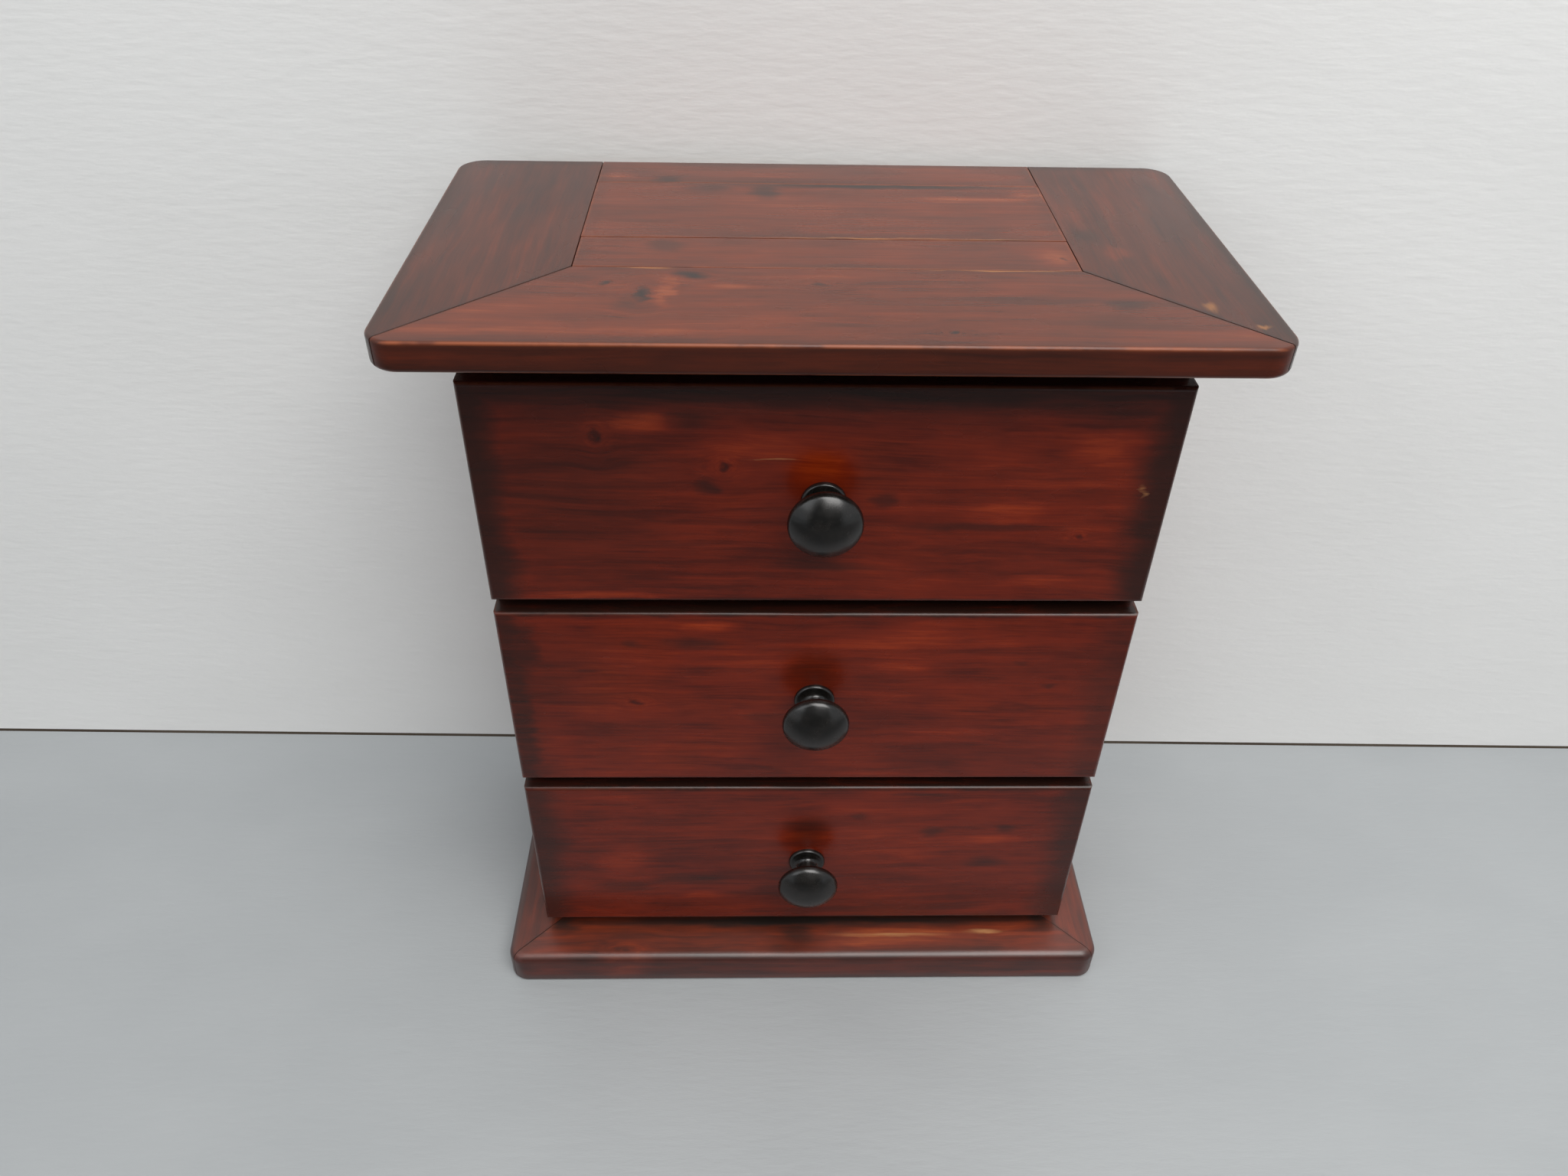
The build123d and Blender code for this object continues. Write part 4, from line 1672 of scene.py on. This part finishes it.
@dataclass
class Studio:
    """The plain floor, the pale backdrop, the dark mat and screen that paint shade into the
    reflections, the lamps and the camera.

    The camera is at the photograph's place and angle, for an image of 2048 by 1536.
    """

    image_width: float = 2048.0
    focal_pixels: float = 1531.5
    sensor_width: float = 36.0
    eye: Point = (-29.4 * MM, -473.1 * MM, 594.7 * MM)
    yaw: float = math.radians(1.88)
    pitch: float = math.radians(38.39)
    roll: float = math.radians(-1.33)
    nearest_seen: float = 10.0 * MM
    floor_size: float = 9.0
    floor_drop: float = 0.1 * MM
    backdrop_left: Pair = (-0.5009, 0.1142)
    backdrop_right: Pair = (0.4940, 0.0979)
    backdrop_reach: float = 2.5
    backdrop_height: float = 1.6
    foot_height: float = 2.5 * MM
    foot_proud: float = 0.5 * MM
    mat_near: float = -0.087
    mat_far: float = -1.60
    mat_half_width: float = 1.2
    mat_lift: float = 0.5 * MM
    screen_height: float = 2.2
    floor_paint: Paint = Paint((0.405, 0.423, 0.428), (0.378, 0.396, 0.402), 0.55)
    backdrop_paint: Paint = Paint((0.865, 0.862, 0.845), (0.835, 0.832, 0.815), 0.7)
    # A dark strip at the backdrop's foot: painted shade in its joint with the floor.
    foot_shade_paint: Paint = Paint((0.060, 0.040, 0.026), (0.10, 0.075, 0.05), 0.8)
    # Dark far from the chest and lighter near it: painted shade of the floor, seen only in
    # reflections.
    gloss_shade_paint: Paint = Paint((0.080, 0.080, 0.083), (0.260, 0.260, 0.265), 0.8, (-0.40, -0.11))
    lamps: tuple[Lamp, ...] = (
        Lamp("key_lamp", (0.50, -0.98, 1.80), (0.42, -0.80, 0.0), (1.2, 2.1), 35.0,
             (1.0, 0.98, 0.96)),
        Lamp("back_lamp", (0.25, 0.42, 1.85), (0.20, 0.20, 0.0), (1.2, 0.7), 4.0),
        Lamp("fill_lamp", (-1.2, -0.9, 1.5), (0.0, 0.0, 0.2), (1.2, 1.2), 4.0,
             (0.95, 0.98, 1.0)),
    )
    sky_colour: Colour = (0.93, 0.96, 1.0)
    sky_strength: float = 0.45

    def sheet_of(self, name: str, corners: list[Point],
                 material: bpy.types.Material) -> bpy.types.Object:
        """A flat sheet through four corners.

        Args:
            name: The name of the sheet.
            corners: Its corners, anticlockwise as seen from its front.
            material: Its paint.

        Returns:
            The sheet.
        """
        mesh = bpy.data.meshes.new(name)
        mesh.from_pydata(corners, [], [(0, 1, 2, 3)])
        mesh.materials.append(material)
        sheet = bpy.data.objects.new(name, mesh)
        bpy.context.scene.collection.objects.link(sheet)
        return sheet

    def floor(self) -> None:
        """The floor under the chest, clear from below."""
        half, level = self.floor_size / 2, -self.floor_drop
        corners = [(-half, -half, level), (half, -half, level),
                   (half, half, level), (-half, half, level)]
        self.sheet_of("floor", corners, self.floor_paint.material("floor_paint", one_sided=True))

    def mat(self) -> None:
        """A dark mat before the chest and a dark screen behind it that only gloss can see.

        They are painted shade on the floor and a painted dark surround, seen only in reflections.
        """
        wide, low, far, high = self.mat_half_width, self.mat_lift, self.mat_far, self.screen_height
        paint = self.gloss_shade_paint.material("gloss_shade_paint", one_sided=True)
        for name, corners in (
                ("gloss_shade_mat", [(-wide, far, low), (wide, far, low),
                              (wide, self.mat_near, low), (-wide, self.mat_near, low)]),
                ("gloss_shade_screen", [(wide, far, low), (-wide, far, low),
                                 (-wide, far, high), (wide, far, high)])):
            sheet = self.sheet_of(name, corners, paint)
            sheet.visible_camera = False
            sheet.visible_diffuse = False
            sheet.visible_transmission = False
            sheet.visible_shadow = False

    def backdrop(self) -> None:
        """The upright backdrop close behind the chest, with a dark strip along its foot that is
        painted shade in the joint with the floor.

        Both are clear from behind and take no light from the chest, so that the back can be seen.
        """
        left, right = Vector(self.backdrop_left), Vector(self.backdrop_right)
        along = (right - left).normalized()
        start = left - along * self.backdrop_reach
        end = right + along * self.backdrop_reach
        proud = Vector((along.y, -along.x)) * self.foot_proud
        sheets = (("backdrop", start, end, self.backdrop_height, self.backdrop_paint),
                  ("backdrop_foot_shade", start + proud, end + proud, self.foot_height, self.foot_shade_paint))
        for name, first, last, height, paint in sheets:
            corners = [(*first, 0.0), (*last, 0.0), (*last, height), (*first, height)]
            sheet = self.sheet_of(name, corners, paint.material(f"{name}_paint", one_sided=True))
            sheet.visible_shadow = False
            sheet.visible_diffuse = False

    def sky(self) -> None:
        """An even, faintly blue sky."""
        world = bpy.data.worlds.new("sky")
        world.use_nodes = True
        background = world.node_tree.nodes["Background"].inputs
        background["Color"].default_value = (*self.sky_colour, 1.0)
        background["Strength"].default_value = self.sky_strength
        bpy.context.scene.world = world

    def camera(self) -> None:
        """The camera, from its yaw, its pitch down and its roll."""
        forward = Vector((math.sin(self.yaw) * math.cos(self.pitch),
                          math.cos(self.yaw) * math.cos(self.pitch), -math.sin(self.pitch)))
        level_right = Vector((math.cos(self.yaw), -math.sin(self.yaw), 0.0))
        level_down = forward.cross(level_right)
        right = level_right * math.cos(self.roll) + level_down * math.sin(self.roll)
        down = level_down * math.cos(self.roll) - level_right * math.sin(self.roll)
        turn = Matrix((right, -down, -forward)).transposed()
        data = bpy.data.cameras.new("camera")
        data.sensor_width = self.sensor_width
        data.lens = self.focal_pixels / self.image_width * self.sensor_width
        data.clip_start = self.nearest_seen
        camera = bpy.data.objects.new("camera", data)
        camera.matrix_world = Matrix.Translation(self.eye) @ turn.to_4x4()
        bpy.context.scene.collection.objects.link(camera)
        bpy.context.scene.camera = camera

    def build(self) -> None:
        """Set the stage."""
        self.floor()
        self.mat()
        self.backdrop()
        for lamp in self.lamps:
            lamp.hang()
        self.sky()
        self.camera()
        bpy.context.scene.view_settings.view_transform = "Standard"


def corners(box: Box) -> list[list[float]]:
    """A box's two corners as plain lists."""
    return [list(corner) for corner in box]


def main() -> None:
    """Build the chest and its stage."""
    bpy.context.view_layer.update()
    bronze = BronzedIron().material("bronzed_iron")
    steel = ZincSteel().material("zinc_steel")
    Top().build()
    Case().build()
    Base().build()
    drawers = (
        DrawerUnit(Drawer.TOP, 41.0, TOP_FRONT_MARKS, tilt=math.radians(1.5)),
        DrawerUnit(Drawer.MIDDLE, 47.0, MIDDLE_FRONT_MARKS, tilt=math.radians(0.5), smoke=0.45),
        DrawerUnit(Drawer.BOTTOM, 53.0, BOTTOM_FRONT_MARKS, tilt=math.radians(-1.0), smoke=0.75),
    )
    for drawer in drawers:
        drawer.build(bronze, steel)
    Screw().build("top_screws", "case", steel)
    Screw().build("base_screws", "case", steel)
    Pin().build("back_pins", "case", steel)
    Studio().build()


if __name__ == "__main__":
    main()
